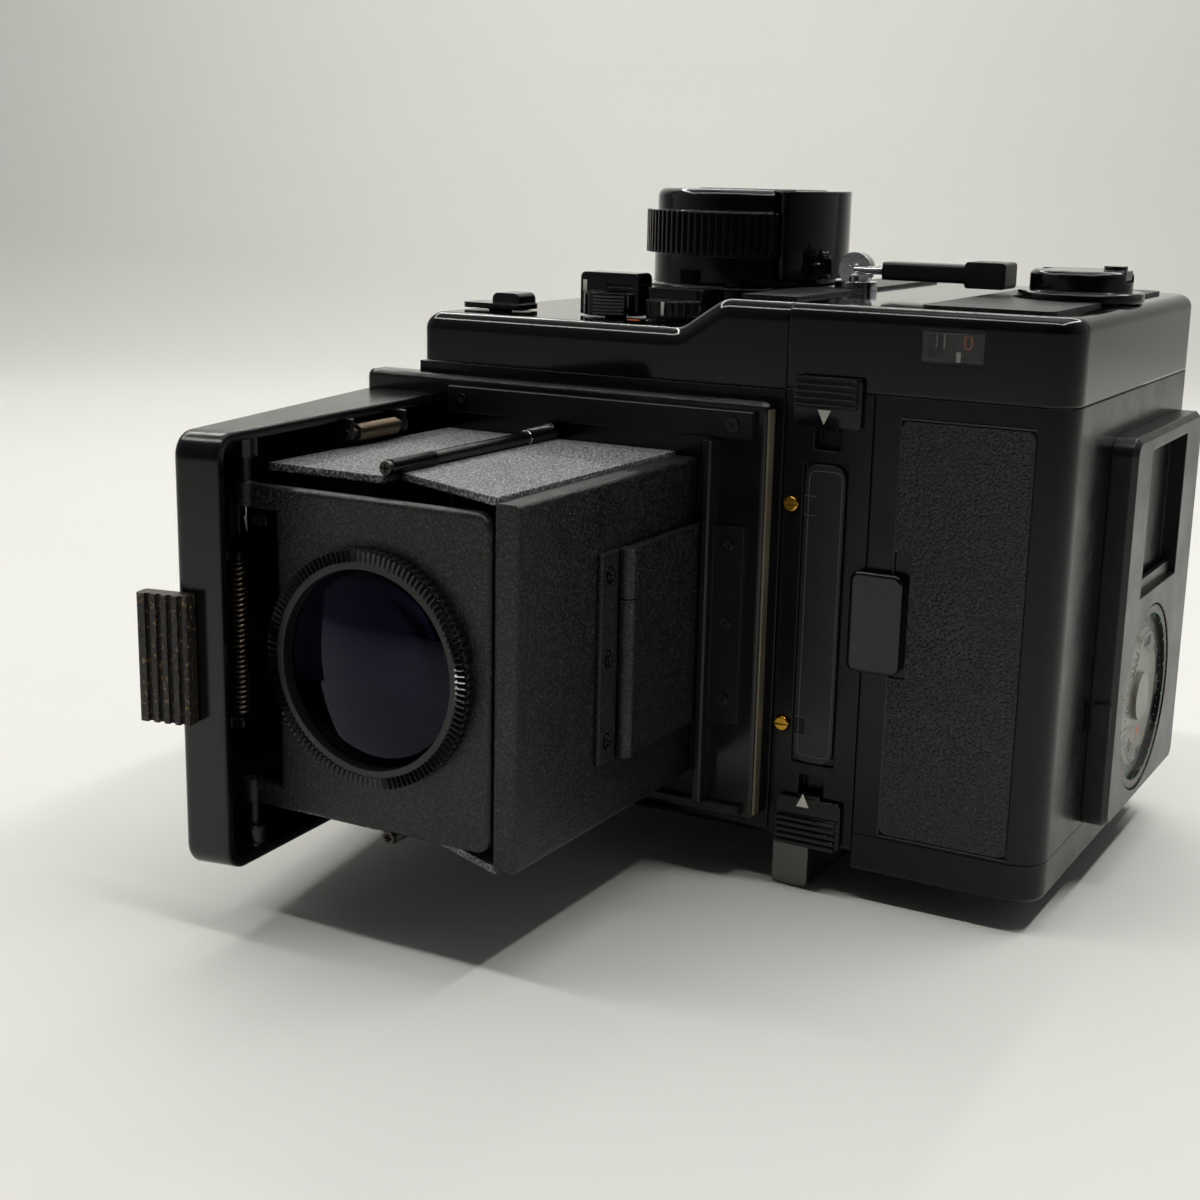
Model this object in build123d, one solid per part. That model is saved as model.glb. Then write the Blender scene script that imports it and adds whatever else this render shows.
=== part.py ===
from build123d import *
import math
import os

os.makedirs("parts", exist_ok=True)

# A 6 x 6 cm single-lens reflex camera with a waist-level finder, lying on its left side.
# +Z is the camera's right-hand (winding) side, -Y is where the finder opens, -X is where
# the lens mount faces.  The origin is the centre of the tripod socket in the base plate.

# Optical layout
flange_x = -41.0
film_setback = 10.1
axis_y = -45.0
frame_size = 56.0

# Camera body
front_x = -40.0
body_length = 73.9
rear_x = front_x + body_length
film_x = rear_x + film_setback
body_height = 85.0
top_y = -body_height
left_z = -38.5
split_z = 40.2
low_z = 49.2
high_z = 54.6
step_x = 17.0
step_run = 8.0
step_round = 5.0
cover_end_round = 2.0
base_thickness = 4.0
shell_wall = 2.4
edge_round = 3.0
panel_gap = 0.2
cavity_half_z = 31.0
cavity_half_y = 31.0
mount_bore = 29.0

# Reflex mirror
mirror_length = 60.0
mirror_half_thickness = 1.2
mirror_rim = 1.5
mirror_side_gap = 1.5
mirror_glass_gap = 0.2
mirror_glass_back = -0.25

# Front nose over the lens mount
nose_front_x = -49.0
nose_half_z = 35.0
nose_depth = 17.0
nose_edge = 5.0

# Tripod and battery fittings in the base
tripod_thread_radius = 3.175
tripod_depth = 7.0
tripod_boss_radius = 9.0
battery_x = -24.0
battery_z = 14.0
battery_radius = 10.0
battery_cover_thickness = 2.2
battery_depth = 6.0
coin_slot_width = 1.8
coin_slot_depth = 1.2

# Running clearances
slide_gap = 0.3
turn_gap = 0.25
pin_gap = 0.05

# Finder base
finder_front_x = -49.4
finder_rear_x = rear_x - 0.9
finder_low_z = -34.6
finder_high_z = 38.4
finder_height = 4.0
rail_height = 1.4
finder_top_y = top_y - finder_height
screen_front_x = -29.6
screen_length = rear_x - 7.5 - screen_front_x
screen_thickness = 1.6
screen_margin = 1.6

# Finder hood
hood_front_x = -31.0
wall_x = finder_rear_x - 16.9
wall_thickness = 3.9
wall_half_z = 28.2
wall_top_y = -145.7
panel_thickness = 1.2
flap_half_z = 28.9
flap_front_y = -139.6
flap_middle_y = -135.2
flap_rear_y = -145.2
flap_gap = 0.25
rod_sleeve_radius = 1.1
rod_x = -8.4
rod_ring_radius = 1.4
rod_ring_shift = 0.35
rod_ring_length = 1.4
rod_ring_lift = 2.2
rod_top_y = -138.2
link_half_z = 17.2
link_thickness = 1.6
link_offset = 0.7
hinge_line_y = -115.6
barrel_radius = 1.5
barrel_break_z = 9.0
strip_width = 5.6
bracket_depth = 5.6
bracket_thickness = 1.4
rib_height = 3.6
rib_thickness = 1.6
rib_half_z = 31.7
strip_screw_z = 13.6
bracket_screw_z_values = (14.2, 0.6, -13.0)
rail_screw_x = 27.0

# Finder lid, measured along its own sloping outer face
lid_base_x = -48.4
lid_lean = 10.5
lid_length = 68.2
lid_overrun = 5.0
lid_base_depth = 17.0
lid_tip_depth = 7.8
lid_half_z = 35.2
lid_wall = 1.6
lid_corner = 4.0
lid_edge = 1.3
tab_half_z = 10.3
tab_centre_z = 0.0
tab_outer = 5.4
tab_inner = 3.5
tab_thickness = 3.2
tab_groove = 1.0
tab_grooves = 4
tab_pitch = 1.9

# Magnifier
magnifier_x = -6.6
magnifier_half_z = 26.3
magnifier_front_x = -25.0
magnifier_rear_x = wall_x - 0.9
magnifier_pivot_x = -31.5
magnifier_pivot_y = -144.4
magnifier_plate = 1.8
magnifier_corner = 3.0
magnifier_edge = 0.7
knuckle_radius = 1.7
arm_inner_z = 22.6
pivot_radius = 0.8
boss_length = 3.2
ring_radius = 18.8
ring_height = 1.4
ring_ribs = 90
ring_rib_depth = 0.35
ring_bore = 15.8
lens_radius = 15.7
lens_sphere = 52.0
lens_edge = 1.8

# Lid latch and its coil spring
spring_y = -141.4
latch_y = -136.1
latch_z = 15.8
latch_length = 8.0
latch_width = 7.0
latch_thickness = 0.8
latch_corner = 1.2
latch_lip = 1.8
latch_lip_height = 1.4
coil_radius = 1.15
coil_wire = 0.4
coil_pitch = 0.86
coil_turns = 30
coil_low_z = -13.4
post_length = 1.6

# Winding knob
knob_x = 5.5
knob_y = -42.0
knob_collar_radius = 17.4
knob_radius = 19.0
knob_cap_radius = 17.0
knob_collar_top_z = 60.4
knob_ring_top_z = 68.2
knob_top_z = 72.2
knob_stem_radius = 4.0
stem_depth = 3.6
knob_ribs = 84
knob_rib_depth = 0.45
crank_pivot_x = -7.0
crank_half_width = 7.0
crank_grip_angle = 46.0
crank_grip_inner = 15.2
crank_grip_low_z = 56.4

# Small controls on the winding side
mirror_lever_x = -8.2
mirror_lever_y = -68.0
mirror_lever_radius = 6.0
mirror_lever_height = 7.6
lever_stem_radius = 2.0
exposure_knob_x = 4.6
exposure_knob_y = -68.4
exposure_knob_radius = 5.6
exposure_knob_height = 5.4
release_slide_x = -32.0
release_slide_y = -70.0
release_slide_length = 13.0
release_slide_width = 7.0
release_slide_height = 3.0
release_slide_travel = 4.0
release_foot_half = 1.6
release_foot_depth = 2.0

# Shutter speed dial on the left side
dial_x = -8.0
dial_y = -38.0
dial_radius = 17.0
dial_height = 8.3
dial_stem_radius = 2.5
dial_stem = 2.6
dial_ribs = 48
dial_rib_depth = 0.5

# Release button
button_radius = 4.5
button_travel = 2.0
button_cap = 1.6
button_stem_radius = 3.0
button_stem = 6.5
collar_height = 2.0
button_y = -12.0
button_z = 26.0

# Strap lugs and the strap's end link
lug_x = rear_x - 4.5
lug_y = -45.0
lug_radius = 3.9
lug_base_height = 1.6
lug_eye_height = 3.8
lug_ring_radius = 2.4
lug_wire_radius = 0.8
link_start_x = lug_x + 6.0
link_block_x = link_start_x + 15.6
link_end_x = link_block_x + 7.4
link_bar_half_y = 2.8
link_bar_height = 3.2
link_block_height = 4.6

# Cap in the lens mount, and the slide that lets it go
mount_cap_front_x = -48.4
mount_cap_radius = 33.4
mount_cap_wall = 2.0
mount_cap_recess_radius = 26.0
mount_cap_recess = 0.6
mount_cap_ribs = 60
mount_cap_rib_depth = 0.5
nose_relief = 1.6
bayonet_radius = 27.4
bayonet_lug = 1.2
bayonet_lug_length = 1.4
bayonet_lug_angle = 20.0
bayonet_lugs = 3
bayonet_turn = 60.0
lock_half_y = 6.0
lock_low_z = -38.1
lock_high_z = -34.5
lock_height = 2.6
lock_travel = 3.0
lock_stem = 2.6
lock_stem_half_y = 3.0
lock_stem_half_z = 0.8

# Film back
back_length = 48.3
back_rear_x = rear_x + back_length
back_top_y = top_y
back_base_y = -4.0
back_corner = 5.5
frame_depth = 15.7
frame_rear_x = rear_x + frame_depth
cap_low_z = 40.8
cap_high_z = 54.6
end_cap_high_z = -34.4
end_cap_low_z = -41.2
end_cap_floor = 3.6
door_wall = 1.8
door_round = 1.6
hinge_pin_radius = 0.8
hinge_pin_length = 5.0
leather_depth = 0.5
leather_margin = 4.2
inlay_margin = 5.0
slide_sheet = 0.6
slide_x = rear_x + 4.8
slide_half_y = 31.0
slide_grip_low_z = -46.8
slide_grip_half_y = 29.0
slide_grip_thickness = 6.6

# Catches and nameplate strip
catch_x = rear_x + 7.9
catch_half_x = 6.0
catch_upper_z = 38.9
catch_lower_z = -33.8
catch_length = 8.4
catch_height = 2.0
catch_ribs = 4
catch_travel = 3.0
catch_slot_half = 2.8
catch_foot_half = 2.4
catch_foot_shift = 2.3
catch_foot_depth = 2.0
catch_stem = 2.0
name_half_x = 3.6
name_low_z = -23.3
name_high_z = 28.4
name_depth = 0.6
pin_x = rear_x + 2.1
pin_radius = 1.3
pin_depth = 2.0
pin_z_values = (21.4, -17.0)

# Door latch, window and counter
latch_bar_x = frame_rear_x + 2.8
latch_bar_half_x = 4.6
latch_bar_low_z = -5.3
latch_bar_high_z = 11.8
latch_bar_height = 2.2
latch_bar_travel = 3.0
latch_hook = 2.0
latch_hook_depth = 1.3
latch_foot_low_z = -1.6
latch_foot_high_z = 5.6
window_x = frame_rear_x + 12.6
window_half_x = 5.2
window_low_z = 46.5
window_high_z = 51.5
window_depth = 1.0
counter_x = window_x
counter_radius = 9.0
counter_y = -73.0
counter_gap = 0.6

# Memo holder and film speed dial
holder_depth = 4.4
holder_rear_x = back_rear_x + holder_depth
holder_floor = 1.4
holder_top_y = -60.0
holder_base_y = -10.5
holder_low_z = -34.6
holder_high_z = 33.6
holder_window_low_z = 4.6
holder_window_high_z = 30.7
holder_window_top_y = -49.4
holder_window_base_y = -23.0
speed_y = -39.0
speed_z = -15.4
speed_radius = 15.3
speed_ring_radius = 16.9
speed_height = 1.6
speed_shaft_radius = 2.0

# Film crank
crank_x = frame_rear_x + 20.7
crank_y = -43.0
crank_flange_radius = 10.8
crank_flange_height = 1.6
crank_knob_radius = 8.8
crank_knob_height = 5.2
crank_bar_half_width = 2.4
crank_bar_height = 1.6

# Spools and insert
spool_x = frame_rear_x + 15.2
spool_top_y = -66.0
spool_base_y = -22.5
spool_flange_radius = 12.3
spool_core_radius = 6.0
spool_half_length = 32.6
spool_flange = 1.2
stud_radius = 1.6
stud_length = 2.6
insert_wall = 1.2
plate_bar_half = 3.0
plate_neck_half = 4.0


def block(x0, x1, y0, y1, z0, z1):
    """A box between two corners."""
    size = Box(abs(x1 - x0), abs(y1 - y0), abs(z1 - z0))
    return Pos(0.5 * (x0 + x1), 0.5 * (y0 + y1), 0.5 * (z0 + z1)) * size


def rod(start, direction, radius, length):
    """A cylinder that starts at a point and runs along a direction."""
    plane = Plane(origin=start, z_dir=direction)
    return plane * Cylinder(radius, length, align=(Align.CENTER, Align.CENTER, Align.MIN))


def tube(start, direction, outer, inner, length):
    """A round tube."""
    return rod(start, direction, outer, length) - rod(start, direction, inner, length)


def along(solid, axis, radius, keep=None):
    """The solid with its edges along an axis rounded, all or those that keep() accepts."""
    edges = solid.edges().filter_by(axis)
    if keep:
        edges = edges.filter_by(keep)
    return fillet(edges, radius)


def ribbed_disc(start, direction, radius, length, count, depth):
    """A disc with evenly spaced grip grooves round its rim."""
    angle = 360.0 / count
    half = math.radians(0.5 * angle)
    plane = Plane(origin=start, z_dir=direction)
    points = []
    for index in range(count):
        centre = math.radians(index * angle)
        for shift, reach in ((-0.9, radius - depth), (-0.35, radius), (0.35, radius), (0.9, radius - depth)):
            turn = centre + shift * half
            points.append((reach * math.cos(turn), reach * math.sin(turn)))
    outline = Polyline(*points, close=True)
    return extrude(plane * make_face(outline), length, dir=direction)


def prism(points, z0, z1):
    """A straight prism along Z over a closed outline."""
    face = make_face(Polyline(*points, close=True))
    return extrude(Pos(0, 0, z0) * face, z1 - z0, dir=(0, 0, 1))


def sector(x, y, z0, z1, inner, outer, angle):
    """A ring sector, centred on +X, between two heights."""
    reach = 2.0 * outer
    half = math.radians(angle)
    far = (x + reach * math.cos(half), y + reach * math.sin(half))
    near = (x + reach * math.cos(half), y - reach * math.sin(half))
    wedge = prism(((x, y), near, far), z0, z1)
    ring = rod((x, y, z0), (0, 0, 1), outer, z1 - z0)
    if inner > 0:
        ring -= rod((x, y, z0), (0, 0, 1), inner, z1 - z0)
    return ring & wedge


def save(name, *solids):
    """Write one node, from one solid or several separate ones."""
    found = []
    for item in solids:
        found.extend(item.solids())
    shape = found[0] if len(found) == 1 else Compound(children=found)
    export_step(shape, f"parts/{name}.step")


# Body shell, cover and base

def make_body_shell():
    """The die-cast mirror box with its nose, open to the lens, the film and the finder."""
    shell = block(front_x, rear_x, top_y, -base_thickness, left_z, split_z)
    shell = along(shell, Axis.X, edge_round, lambda e: e.center().Z < 0)
    shell += make_nose()
    shell -= block(
        front_x + shell_wall, rear_x, axis_y - cavity_half_y, axis_y + cavity_half_y,
        -cavity_half_z, cavity_half_z,
    )
    shell -= rod((front_x - 1.0, axis_y, 0), (1, 0, 0), mount_bore, shell_wall + 2.0)
    shell -= block(
        screen_front_x, screen_front_x + screen_length, top_y - 1.0, axis_y,
        -0.5 * frame_size, 0.5 * frame_size,
    )
    shell -= screen_seat(panel_gap)
    tripod_start = -base_thickness - tripod_depth
    shell -= rod((0, tripod_start, 0), (0, 1, 0), tripod_thread_radius, tripod_depth + base_thickness)
    shell -= rod(
        (battery_x, -base_thickness - battery_depth, battery_z), (0, 1, 0), battery_radius - 2.0,
        battery_depth + base_thickness,
    )
    shell -= rod((dial_x, dial_y, left_z - 1.0), (0, 0, 1), dial_stem_radius + pin_gap, dial_stem + 1.5)
    shell += rod(
        (front_x - collar_height, button_y, button_z), (1, 0, 0), button_radius + 2.5, collar_height
    )
    shell -= rod(
        (front_x - collar_height - 1.0, button_y, button_z), (1, 0, 0), button_radius + turn_gap,
        collar_height + 1.0,
    )
    shell -= rod(
        (front_x - 1.0, button_y, button_z), (1, 0, 0), button_stem_radius + turn_gap, button_stem + 2.0
    )
    lock_z = 0.5 * (lock_low_z + lock_high_z)
    shell -= block(
        front_x - 1.0, front_x + lock_stem + slide_gap,
        axis_y - lock_stem_half_y - slide_gap, axis_y + lock_stem_half_y + lock_travel + slide_gap,
        lock_z - lock_stem_half_z - pin_gap, lock_z + lock_stem_half_z + pin_gap,
    )
    return shell


def make_nose():
    """The nose over the lens mount, under the finder's front edge."""
    outline = (
        (front_x, top_y), (nose_front_x, top_y), (nose_front_x, top_y + nose_edge),
        (front_x, top_y + nose_depth),
    )
    nose = prism(outline, -nose_half_z, nose_half_z)
    relief = mount_cap_radius + nose_relief
    return nose - rod((nose_front_x - 1.0, axis_y, 0), (1, 0, 0), relief, front_x - nose_front_x + 1.0)


def screen_seat(gap):
    """The rebate that holds the focusing screen under the finder."""
    half = 0.5 * frame_size + screen_margin + gap
    return block(
        screen_front_x - screen_margin - gap, screen_front_x + screen_length + screen_margin + gap,
        top_y, top_y + screen_thickness + gap, -half, half,
    )


def make_screen():
    """The ground-glass focusing screen."""
    half = 0.5 * frame_size + screen_margin
    return block(
        screen_front_x - screen_margin, screen_front_x + screen_length + screen_margin,
        top_y + panel_gap, top_y + panel_gap + screen_thickness - 0.1, -half, half,
    )


def make_winding_cover():
    """The winding-side cover with its raised rear part, reached over a rounded slope."""
    base_z = split_z + panel_gap
    cover_front_x = front_x + 0.5
    slope_x = step_x - 0.5 * step_run
    outline = Polyline(
        (cover_front_x, base_z), (cover_front_x, low_z), (slope_x, low_z), (slope_x + step_run, high_z),
        (rear_x, high_z), (rear_x, base_z), close=True,
    )
    plane = Plane(origin=(0, top_y, 0), x_dir=(1, 0, 0), z_dir=(0, -1, 0))
    cover = extrude(plane * make_face(outline), -top_y - base_thickness, dir=(0, 1, 0))
    cover = along(cover, Axis.Y, step_round, lambda e: abs(e.center().X - step_x) < step_run)
    cover = along(
        cover, Axis.Z, cover_end_round,
        lambda e: e.center().X < cover_front_x + 1.0 and e.center().Y < top_y + 1.0,
    )
    rim = cover.edges().filter_by(lambda e: e.center().Y < top_y + 0.1 and e.center().Z > low_z - 0.2)
    pad = rod((knob_x, knob_y, low_z - 1.0), (0, 0, 1), knob_collar_radius + 1.2, high_z - low_z + 1.0)
    cover = fillet(rim, edge_round) + pad
    for x, y, z, radius in (
        (knob_x, knob_y, high_z, knob_stem_radius),
        (mirror_lever_x, mirror_lever_y, low_z, lever_stem_radius),
        (exposure_knob_x, exposure_knob_y, low_z, lever_stem_radius),
    ):
        cover -= rod((x, y, z - stem_depth - 0.4), (0, 0, 1), radius + pin_gap, stem_depth + 1.0)
    half = release_foot_half + slide_gap
    cover -= block(
        release_slide_x - half, release_slide_x + half + release_slide_travel,
        release_slide_y - half, release_slide_y + half, low_z - release_foot_depth - slide_gap, low_z + 1.0,
    )
    return cover


def make_cover_leather():
    """The textured inlay round the winding knob."""
    inlay = block(
        step_x + 0.5 * step_run + 1.0, rear_x - 1.6, top_y + 7.0, -base_thickness - 5.0, high_z, high_z + leather_depth
    )
    inlay -= rod((knob_x, knob_y, high_z), (0, 0, 1), knob_collar_radius + 2.4, 2.0)
    inlay -= rod((lug_x, lug_y, high_z), (0, 0, 1), lug_radius + 0.6, 2.0)
    return inlay


def make_base_plate():
    """The base plate, bored for the tripod socket and the battery cover."""
    plate = block(front_x, rear_x, -base_thickness, 0, left_z, low_z)
    plate = along(plate, Axis.Y, 2.0)
    plate -= rod(
        (0, -base_thickness - 1.0, 0), (0, 1, 0), tripod_boss_radius + panel_gap, base_thickness + 2.0
    )
    plate -= rod(
        (battery_x, -base_thickness - 1.0, battery_z), (0, 1, 0), battery_radius + turn_gap,
        base_thickness + 2.0
    )
    return plate


def make_tripod_socket():
    """The steel tripod bush."""
    return tube(
        (0, -base_thickness, 0), (0, 1, 0), tripod_boss_radius, tripod_thread_radius, base_thickness
    )


def make_battery_cover():
    """The coin-slotted battery cover, flush with the base."""
    cover = rod(
        (battery_x, -battery_cover_thickness, battery_z), (0, 1, 0), battery_radius, battery_cover_thickness
    )
    neck_length = battery_depth + base_thickness - battery_cover_thickness - 2.0
    cover += rod(
        (battery_x, -battery_cover_thickness - neck_length, battery_z), (0, 1, 0),
        battery_radius - 2.0 - turn_gap,
        neck_length,
    )
    half = 0.5 * coin_slot_width
    return cover - block(
        battery_x - 6.5, battery_x + 6.5, -coin_slot_depth, 1.0, battery_z - half, battery_z + half,
    )


def make_lens_mount():
    """The bright bayonet ring on the body's front face."""
    depth = front_x - flange_x
    ring = tube((flange_x, axis_y, 0), (1, 0, 0), mount_bore + 3.6, bayonet_radius, depth)
    notches = bayonet_sectors(
        flange_x - 0.5, depth + 1.0, bayonet_radius - 1.0, bayonet_radius + bayonet_lug + slide_gap,
        bayonet_lug_angle + 2.0, bayonet_turn,
    )
    for notch in notches:
        ring -= notch
    for angle in (30, 150, 270):
        turn = math.radians(angle)
        ring -= rod(
            (flange_x - 0.5, axis_y + (mount_bore + 1.4) * math.cos(turn), (mount_bore + 1.4) * math.sin(turn)),
            (1, 0, 0), 0.9, 1.0,
        )
    return ring


def make_left_leather():
    """The leatherette on the body's left side."""
    panel = block(
        front_x + 3.0, rear_x - 2.0, top_y + 4.0, -base_thickness - 3.0, left_z - leather_depth, left_z
    )
    panel -= rod((dial_x, dial_y, left_z - 2.0), (0, 0, 1), dial_radius + 1.4, 4.0)
    panel -= rod((lug_x - 4.0, lug_y - 12.0, left_z - 2.0), (0, 0, 1), lug_radius + 1.2, 4.0)
    return panel


# Mirror

def make_mirror():
    """The reflex mirror in its frame, at 45 degrees."""
    half = cavity_half_z - mirror_side_gap
    inner = half - mirror_rim
    frame = block(0, mirror_length, -mirror_half_thickness, mirror_half_thickness, -half, half)
    tray = frame - block(
        mirror_rim, mirror_length - mirror_rim, -2.0 * mirror_half_thickness, mirror_glass_back + pin_gap,
        -inner, inner,
    )
    edge = mirror_rim + mirror_glass_gap
    inner -= mirror_glass_gap
    glass = block(edge, mirror_length - edge, -mirror_half_thickness, mirror_glass_back, -inner, inner)
    reach = cavity_half_z - slide_gap
    hinge = rod((mirror_length, 0, -reach), (0, 0, 1), mirror_half_thickness, 2.0 * reach)
    place = Pos(mirror_pivot_x(), mirror_pivot_y(), 0) * Rot(0, 0, -45) * Pos(-mirror_length, 0, 0)
    return place * (tray + hinge), place * glass


def mirror_pivot_x():
    """The mirror's hinge line, seen from the side."""
    return rear_x - 7.0


def mirror_pivot_y():
    """The mirror's hinge line, just under the finder well."""
    return axis_y - cavity_half_y + 3.6


# Finder base and hood

def make_finder_base():
    """The finder's flat base frame with a rectangular aperture."""
    base = block(finder_front_x, finder_rear_x, finder_top_y, top_y, finder_low_z, finder_high_z)
    base = along(base, Axis.Y, 1.5)
    base -= block(
        hood_front_x + 1.0, wall_x, finder_top_y - 1.0, top_y + 1.0, -0.5 * frame_size + 1.0,
        0.5 * frame_size - 1.0
    )
    rim = base.faces().sort_by(Axis.Y)[0].outer_wire().edges()
    base = chamfer(rim, 0.7)
    return base


def make_rear_bracket():
    """The upright rib behind the rear wall and the screwed hinge bar of the link."""
    x0 = wall_x + wall_thickness + link_offset + link_thickness + slide_gap
    rib = block(x0, x0 + rib_thickness, finder_top_y - rib_height, finder_top_y, -rib_half_z, rib_half_z)
    rib = along(rib, Axis.Z, 0.5, lambda e: e.center().Y < finder_top_y - 1.0)
    x1 = x0 + rib_thickness
    bar = block(
        x1, x1 + bracket_depth, finder_top_y - bracket_thickness, finder_top_y, -link_half_z, link_half_z
    )
    return rib, bar


def make_finder_trim():
    """The raised side rails of the finder base."""
    rails = []
    for inner, outer in ((rail_inner_z(), finder_high_z - 1.6), (-rail_inner_z(), finder_low_z + 0.8)):
        rail = block(
            hood_front_x + 1.0, finder_rear_x - 2.5, finder_top_y - rail_height, finder_top_y, inner, outer
        )
        rails.append(along(rail, Axis.X, 0.4, lambda e: e.center().Y < finder_top_y - 0.5))
    return rails


def rail_inner_z():
    """Where the rails begin, just outside the hinge rods."""
    return flap_half_z + 2.0 * rod_sleeve_radius + 0.9


def make_rear_wall():
    """The tall wall at the rear of the open hood, its corners folded round the flaps."""
    outer = wall_x + wall_thickness
    wall = block(wall_x, outer, wall_top_y, finder_top_y - panel_gap, -wall_half_z, wall_half_z)
    return along(wall, Axis.Y, 0.8, lambda e: e.center().X > wall_x + 1.0)


def make_link_plate():
    """The link between the base and the rear wall, with its hinge barrel."""
    x0 = wall_x + wall_thickness
    x1 = x0 + link_offset
    bottom = finder_top_y - panel_gap
    plate = block(
        x1, x1 + link_thickness, hinge_line_y + barrel_radius + 0.2, bottom, -link_half_z, link_half_z
    )
    plate += block(x1, x1 + link_thickness, hinge_line_y, bottom, -link_half_z, barrel_break_z)
    barrel_x = x0 + barrel_radius + 0.1
    plate += rod(
        (barrel_x, hinge_line_y, -link_half_z), (0, 0, 1), barrel_radius, link_half_z + barrel_break_z
    )
    start = (barrel_x, hinge_line_y, barrel_break_z + panel_gap)
    return plate, rod(start, (0, 0, 1), barrel_radius, link_half_z - barrel_break_z - panel_gap)


def make_hinge_strip():
    """The screwed strip that holds the hinge barrel on the rear wall."""
    x0 = wall_x + wall_thickness
    strip = block(
        x0, x0 + 0.9, hinge_line_y - barrel_radius - strip_width, hinge_line_y - barrel_radius - 0.2,
        -link_half_z, link_half_z,
    )
    for z in (-13.6, 0, 13.6):
        strip -= rod((x0 - 1.0, strip_screw_y(), z), (1, 0, 0), 1.3, 3.0)
    return strip


def strip_screw_y():
    """The line of the strip's three screws."""
    return hinge_line_y - barrel_radius - 0.5 * strip_width - 0.1


def make_screw(start, direction, radius, height):
    """A small pan-head screw with a cross recess."""
    plane = Plane(origin=start, z_dir=direction)
    head = plane * Cylinder(radius, height, align=(Align.CENTER, Align.CENTER, Align.MIN))
    for turn in (0, 90):
        cut = Pos(0, 0, height) * Rot(0, 0, turn) * Box(1.3 * radius, 0.3 * radius, 0.8 * height)
        head -= plane * cut
    return head


def make_hood_screws():
    """Screws of the hinge strip, the flap rods, the bracket and the finder rails."""
    screws = []
    x0 = wall_x + wall_thickness
    for z in (-strip_screw_z, 0, strip_screw_z):
        screws.append(make_screw((x0, strip_screw_y(), z), (1, 0, 0), 1.15, 1.2))
    for side in (1, -1):
        start = (rod_x, rod_top_y, side * rod_z())
        screws.append(make_screw(start, (0, -1, 0), rod_sleeve_radius, 0.9))
    bar_x = x0 + link_offset + link_thickness + slide_gap + rib_thickness + 0.5 * bracket_depth
    for z in bracket_screw_z_values:
        start = (bar_x, finder_top_y - bracket_thickness, z)
        screws.append(make_screw(start, (0, -1, 0), 1.0, 0.5))
    rail_z = 0.5 * (rail_inner_z() + finder_high_z - 1.6)
    for x in (-rail_screw_x, rail_screw_x):
        start = (x, finder_top_y - rail_height, rail_z)
        screws.append(make_screw(start, (0, -1, 0), 1.2, 0.5))
    return screws


def rod_z():
    """How far out the hinge rods lie, just outside the flaps."""
    return flap_half_z + rod_sleeve_radius + pin_gap


def make_flaps(side):
    """The two leaves that close one side of the hood between lid and rear wall."""
    low = min(side * flap_half_z, side * (flap_half_z - panel_thickness))
    bottom = finder_top_y - panel_gap
    x0 = hood_front_x + panel_gap
    x1 = rod_x - flap_gap
    x2 = rod_x + flap_gap
    x3 = wall_x - panel_gap
    front = ((x0, bottom), (x0, flap_front_y), (x1, flap_front_y), (x1, bottom))
    rear = ((x2, bottom), (x2, flap_middle_y), (x3, flap_rear_y), (x3, bottom))
    return prism(front, low, low + panel_thickness), prism(rear, low, low + panel_thickness)


def make_flap_rods():
    """The two long hinge rods in the middle of the sides, with their base rings."""
    pieces = []
    for side in (1, -1):
        z = side * rod_z()
        body = rod((rod_x, rod_top_y, z), (0, 1, 0), rod_sleeve_radius, finder_top_y - rod_top_y)
        ring_start = (rod_x, finder_top_y - rod_ring_lift, z + side * rod_ring_shift)
        ring = rod(ring_start, (0, 1, 0), rod_ring_radius, rod_ring_length)
        pieces.append(body + ring)
    return pieces


# Lid, drawn in its own leaning frame: X inwards from its outer face, -Y up that face

def on_lid(solid):
    """Move a solid from the lid's own frame to its place."""
    return Pos(lid_base_x, finder_top_y, 0) * Rot(0, 0, lid_lean) * solid


def lid_frame_point(x, y):
    """A place in the part's frame, seen from the lid's own frame."""
    turn = math.radians(lid_lean)
    dx = x - lid_base_x
    dy = y - finder_top_y
    return dx * math.cos(turn) + dy * math.sin(turn), dy * math.cos(turn) - dx * math.sin(turn)


def make_lid():
    """The finder's tray-shaped lid, standing open at the front."""
    outer = (
        (0, -lid_length), (lid_tip_depth, -lid_length), (lid_base_depth, lid_overrun), (0, lid_overrun),
    )
    solid = prism(outer, -lid_half_z, lid_half_z)
    solid = along(solid, Axis.X, lid_corner, lambda e: e.center().Y < 1.0 - lid_length)
    solid = fillet(solid.faces().sort_by(Axis.X)[0].outer_wire().edges(), lid_edge)
    half = lid_half_z - lid_wall
    room = block(lid_wall, 2.0 * lid_base_depth, lid_wall - lid_length, 2.0 * lid_overrun, -half, half)
    solid -= along(room, Axis.X, lid_corner - lid_wall, lambda e: e.center().Y < 0)
    x, y = lid_frame_point(magnifier_pivot_x, magnifier_pivot_y)
    for side in (1, -1):
        solid += rod((x, y, side * half), (0, 0, -side), 2.0, boss_length)
        solid -= rod((x, y, side * half), (0, 0, -side), pivot_radius + pin_gap, boss_length + 1.0)
    for z in (coil_low_z - post_length, coil_high_z()):
        centre = spring_frame_y()
        solid += block(lid_wall - 0.2, lid_wall + 2.6, centre - 1.5, centre + 1.5, z, z + post_length)
    placed = on_lid(solid)
    return placed - block(-90, 0, finder_top_y - panel_gap, finder_top_y + 40.0, -50, 50)


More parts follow.
